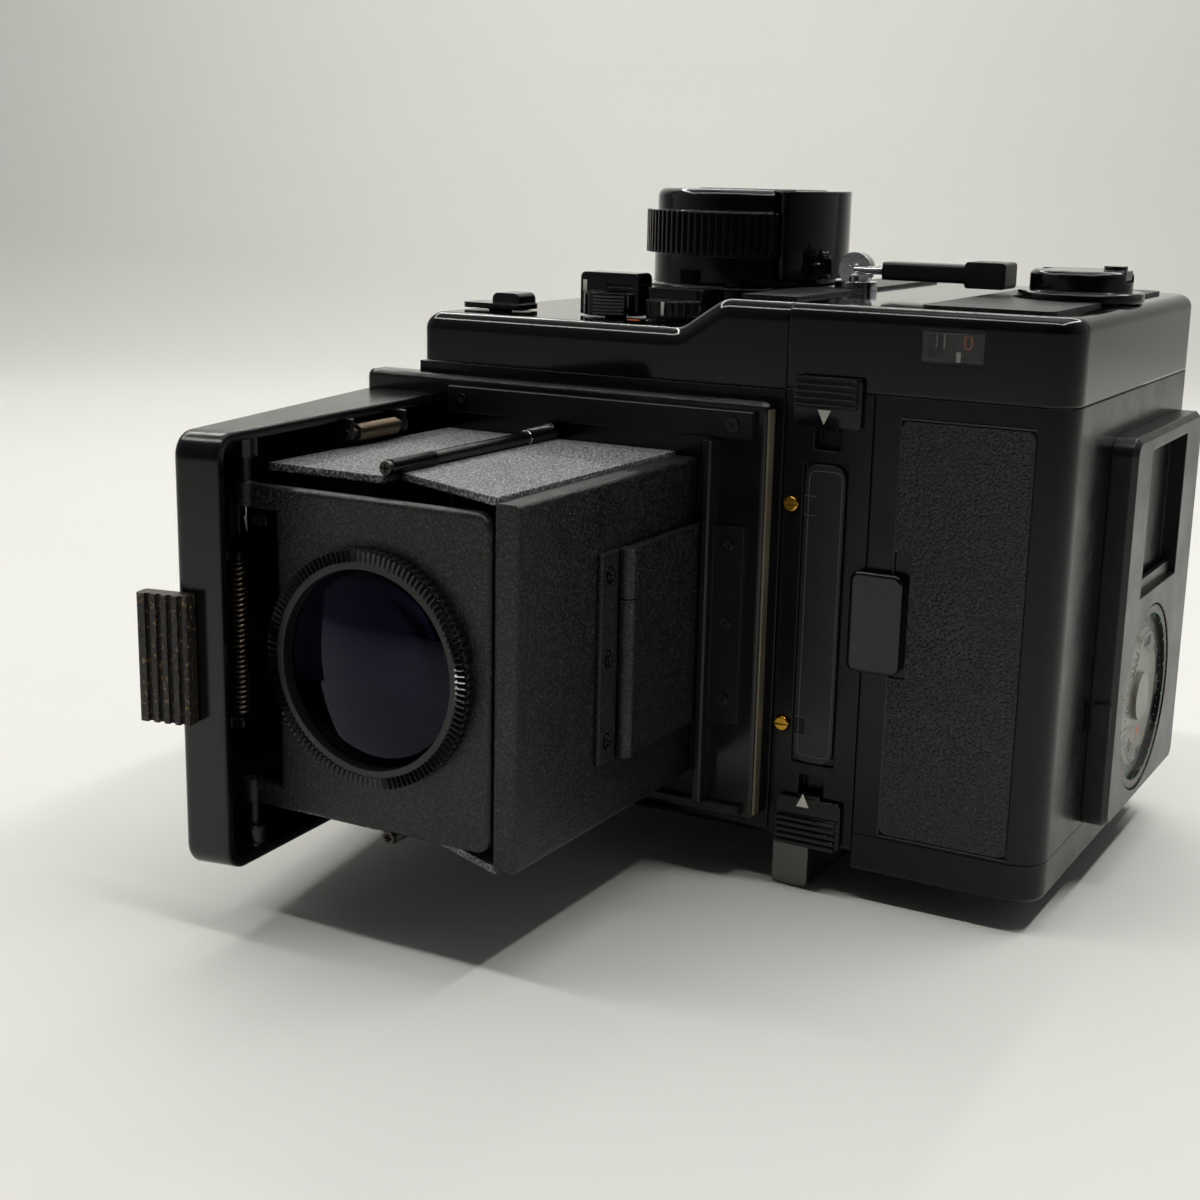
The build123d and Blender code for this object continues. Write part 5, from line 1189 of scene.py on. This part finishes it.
@dataclass
class Studio:
    """Seamless pale sweep, soft lamps and the camera.

    Places are millimetres, angles degrees, and the lamps' power watts.  The focal length is
    in pixels of a square picture.
    """

    floor_colours: Tuple[str, str] = ("#e7e7e3", "#e1e1dd")
    sweep_near: float = -1500.0
    sweep_start: float = 700.0
    sweep_radius: float = 500.0
    sweep_steps: int = 16
    sweep_half: float = 2200.0
    sweep_top: float = 2200.0
    room_front: Triple = (0.45, -0.85, 0.1)
    room_levels: Pair = (0.38, 0.015)
    ring_centre: Pair = (-90.0, 140.0)
    ring_height: float = 560.0
    ring_half: float = 400.0
    strip_width: float = 26.0
    ring_power: float = 7.2
    fill_path: Span = ((60.0, 120.0, 900.0), (0.0, -60.0, 0.0))
    fill_size: Pair = (600.0, 600.0)
    fill_power: float = 1.2
    wash_path: Span = ((-150.0, 300.0, 950.0), (-420.0, 1200.0, 1450.0))
    wash_size: Pair = (1600.0, 500.0)
    wash_power: float = 16.0
    eye: Triple = (155.97, -362.11, 75.23)
    azimuth: float = 29.48
    elevation: float = 13.34
    roll: float = 1.17
    focal_pixels: float = 1815.08
    picture_pixels: float = 1200.0

    def build(self) -> None:
        """Make the sweep, the light and the camera."""
        self.sweep()
        self.world()
        self.lamps()
        self.viewpoint()

    def sweep(self) -> None:
        """The floor that curves up into a backdrop behind the object."""
        bm = bmesh.new()
        turn = math.radians(self.azimuth)
        heading = Vector((-math.sin(turn), math.cos(turn), 0))
        side = Vector((heading.y, -heading.x, 0))
        line = [(self.sweep_near, 0.0), (-380.0, 0.0), (self.sweep_start, 0.0)]
        for step in range(1, self.sweep_steps + 1):
            angle = math.pi / 2 * step / self.sweep_steps
            line.append((self.sweep_start + self.sweep_radius * math.sin(angle),
                         self.sweep_radius * (1 - math.cos(angle))))
        line.append((self.sweep_start + self.sweep_radius, self.sweep_top))
        rows = []
        for reach in (-self.sweep_half, self.sweep_half):
            rows.append([bm.verts.new(heading * ahead + side * reach + Vector((0, 0, FLOOR_Z - 0.02 + rise)))
                         for ahead, rise in line])
        for i in range(len(line) - 1):
            bm.faces.new((rows[0][i], rows[1][i], rows[1][i + 1], rows[0][i + 1]))
        bmesh.ops.scale(bm, vec=(MM, MM, MM), verts=bm.verts)
        mesh = bpy.data.meshes.new("pale_sweep")
        for face in bm.faces:
            face.smooth = True
        bm.to_mesh(mesh)
        bm.free()
        mesh.materials.append(self.paper())
        item = bpy.data.objects.new("pale_sweep", mesh)
        bpy.context.scene.collection.objects.link(item)

    def paper(self) -> bpy.types.Material:
        """Matt pale paper, faintly cloudy.

        Returns:
            The sweep's material.
        """
        material = bpy.data.materials.new("pale_paper_sweep")
        material.use_nodes = True
        tree = material.node_tree
        shader = tree.nodes["Principled BSDF"]
        place = add(tree, "TexCoord").outputs["Object"]
        noise = add(tree, "TexNoise", {"Vector": place, "Scale": 6.0, "Detail": 5.0})
        pale, dull = (srgb(code) for code in self.floor_colours)
        colour = add(tree, "Mix", {"Factor": noise.outputs["Fac"], 6: pale, 7: dull}, data_type="RGBA")
        tree.links.new(colour.outputs[2], shader.inputs["Base Color"])
        shader.inputs["Roughness"].default_value = 0.75
        shader.inputs["Specular IOR Level"].default_value = 0.2
        return material

    def world(self) -> None:
        """A dim grey room, darker where the camera stands."""
        world = bpy.data.worlds.new("studio_room")
        bpy.context.scene.world = world
        world.use_nodes = True
        tree = world.node_tree
        tree.nodes.clear()
        way = add(tree, "TexCoord").outputs["Generated"]
        front = add(tree, "VectorMath", {0: way, 1: self.room_front}, operation="DOT_PRODUCT")
        bright, dim = self.room_levels
        level = add(tree, "MapRange", {0: front.outputs["Value"], 1: -0.4, 2: 0.8, 3: bright, 4: dim})
        back = add(tree, "Background", {"Color": srgb("#f2f4f6"), "Strength": level.outputs[0]})
        add(tree, "OutputWorld", {"Surface": back.outputs[0]})

    def lamps(self) -> None:
        """A square ring of light strips overhead, a weak soft fill and a wash on the backdrop."""
        x, y = self.ring_centre
        half = self.ring_half
        along, across = (self.strip_width, 2 * half), (2 * half, self.strip_width)
        plan = []
        sides = ((half, 0.0, along), (-half, 0.0, along), (0.0, half, across), (0.0, -half, across))
        for dx, dy, size in sides:
            path = ((x + dx, y + dy, self.ring_height), (x + dx, y + dy, 0.0))
            plan.append((path, size, self.ring_power / 4, "#fffdf8"))
        plan.append((self.fill_path, self.fill_size, self.fill_power, "#f8fbff"))
        plan.append((self.wash_path, self.wash_size, self.wash_power, "#fffefa"))
        for index, ((spot, target), size, power, colour) in enumerate(plan):
            lamp = bpy.data.lights.new(f"lamp_{index}", "AREA")
            lamp.shape = "RECTANGLE"
            lamp.size = size[0] * MM
            lamp.size_y = size[1] * MM
            lamp.energy = power
            lamp.color = srgb(colour)[:3]
            item = bpy.data.objects.new(f"lamp_{index}", lamp)
            bpy.context.scene.collection.objects.link(item)
            item.location = Vector(spot) * MM
            down = Vector(target) - Vector(spot)
            if down.xy.length > 0.01:
                item.rotation_euler = down.to_track_quat("-Z", "Y").to_euler()

    def viewpoint(self) -> None:
        """The studio camera's place, angle and focal length."""
        azimuth, elevation, roll = (math.radians(v) for v in (self.azimuth, self.elevation, self.roll))
        forward = Vector((-math.sin(azimuth) * math.cos(elevation), math.cos(azimuth) * math.cos(elevation),
                          -math.sin(elevation)))
        right = Vector((math.cos(azimuth), math.sin(azimuth), 0))
        up = right.cross(forward)
        tilted = right * math.cos(roll) + up * math.sin(roll)
        risen = up * math.cos(roll) - right * math.sin(roll)
        lens = bpy.data.cameras.new("studio_camera")
        lens.sensor_width = 36.0
        lens.lens = self.focal_pixels / self.picture_pixels * lens.sensor_width
        lens.clip_start = 0.01
        lens.clip_end = 20.0
        item = bpy.data.objects.new("studio_camera", lens)
        bpy.context.scene.collection.objects.link(item)
        matrix = Matrix((tilted, risen, -forward)).transposed().to_4x4()
        matrix.translation = Vector(self.eye) * MM
        item.matrix_world = matrix
        bpy.context.scene.camera = item


def main() -> None:
    """Build the looks in order, piece by piece."""
    logging.basicConfig(level=logging.INFO, format="%(message)s")
    bpy.context.scene.view_settings.view_transform = "Standard"
    Studio().build()
    CadFinishes().build()
    HoodTrim().build()
    BackTrim().build()
    Marks().build()


if __name__ == "__main__":
    main()
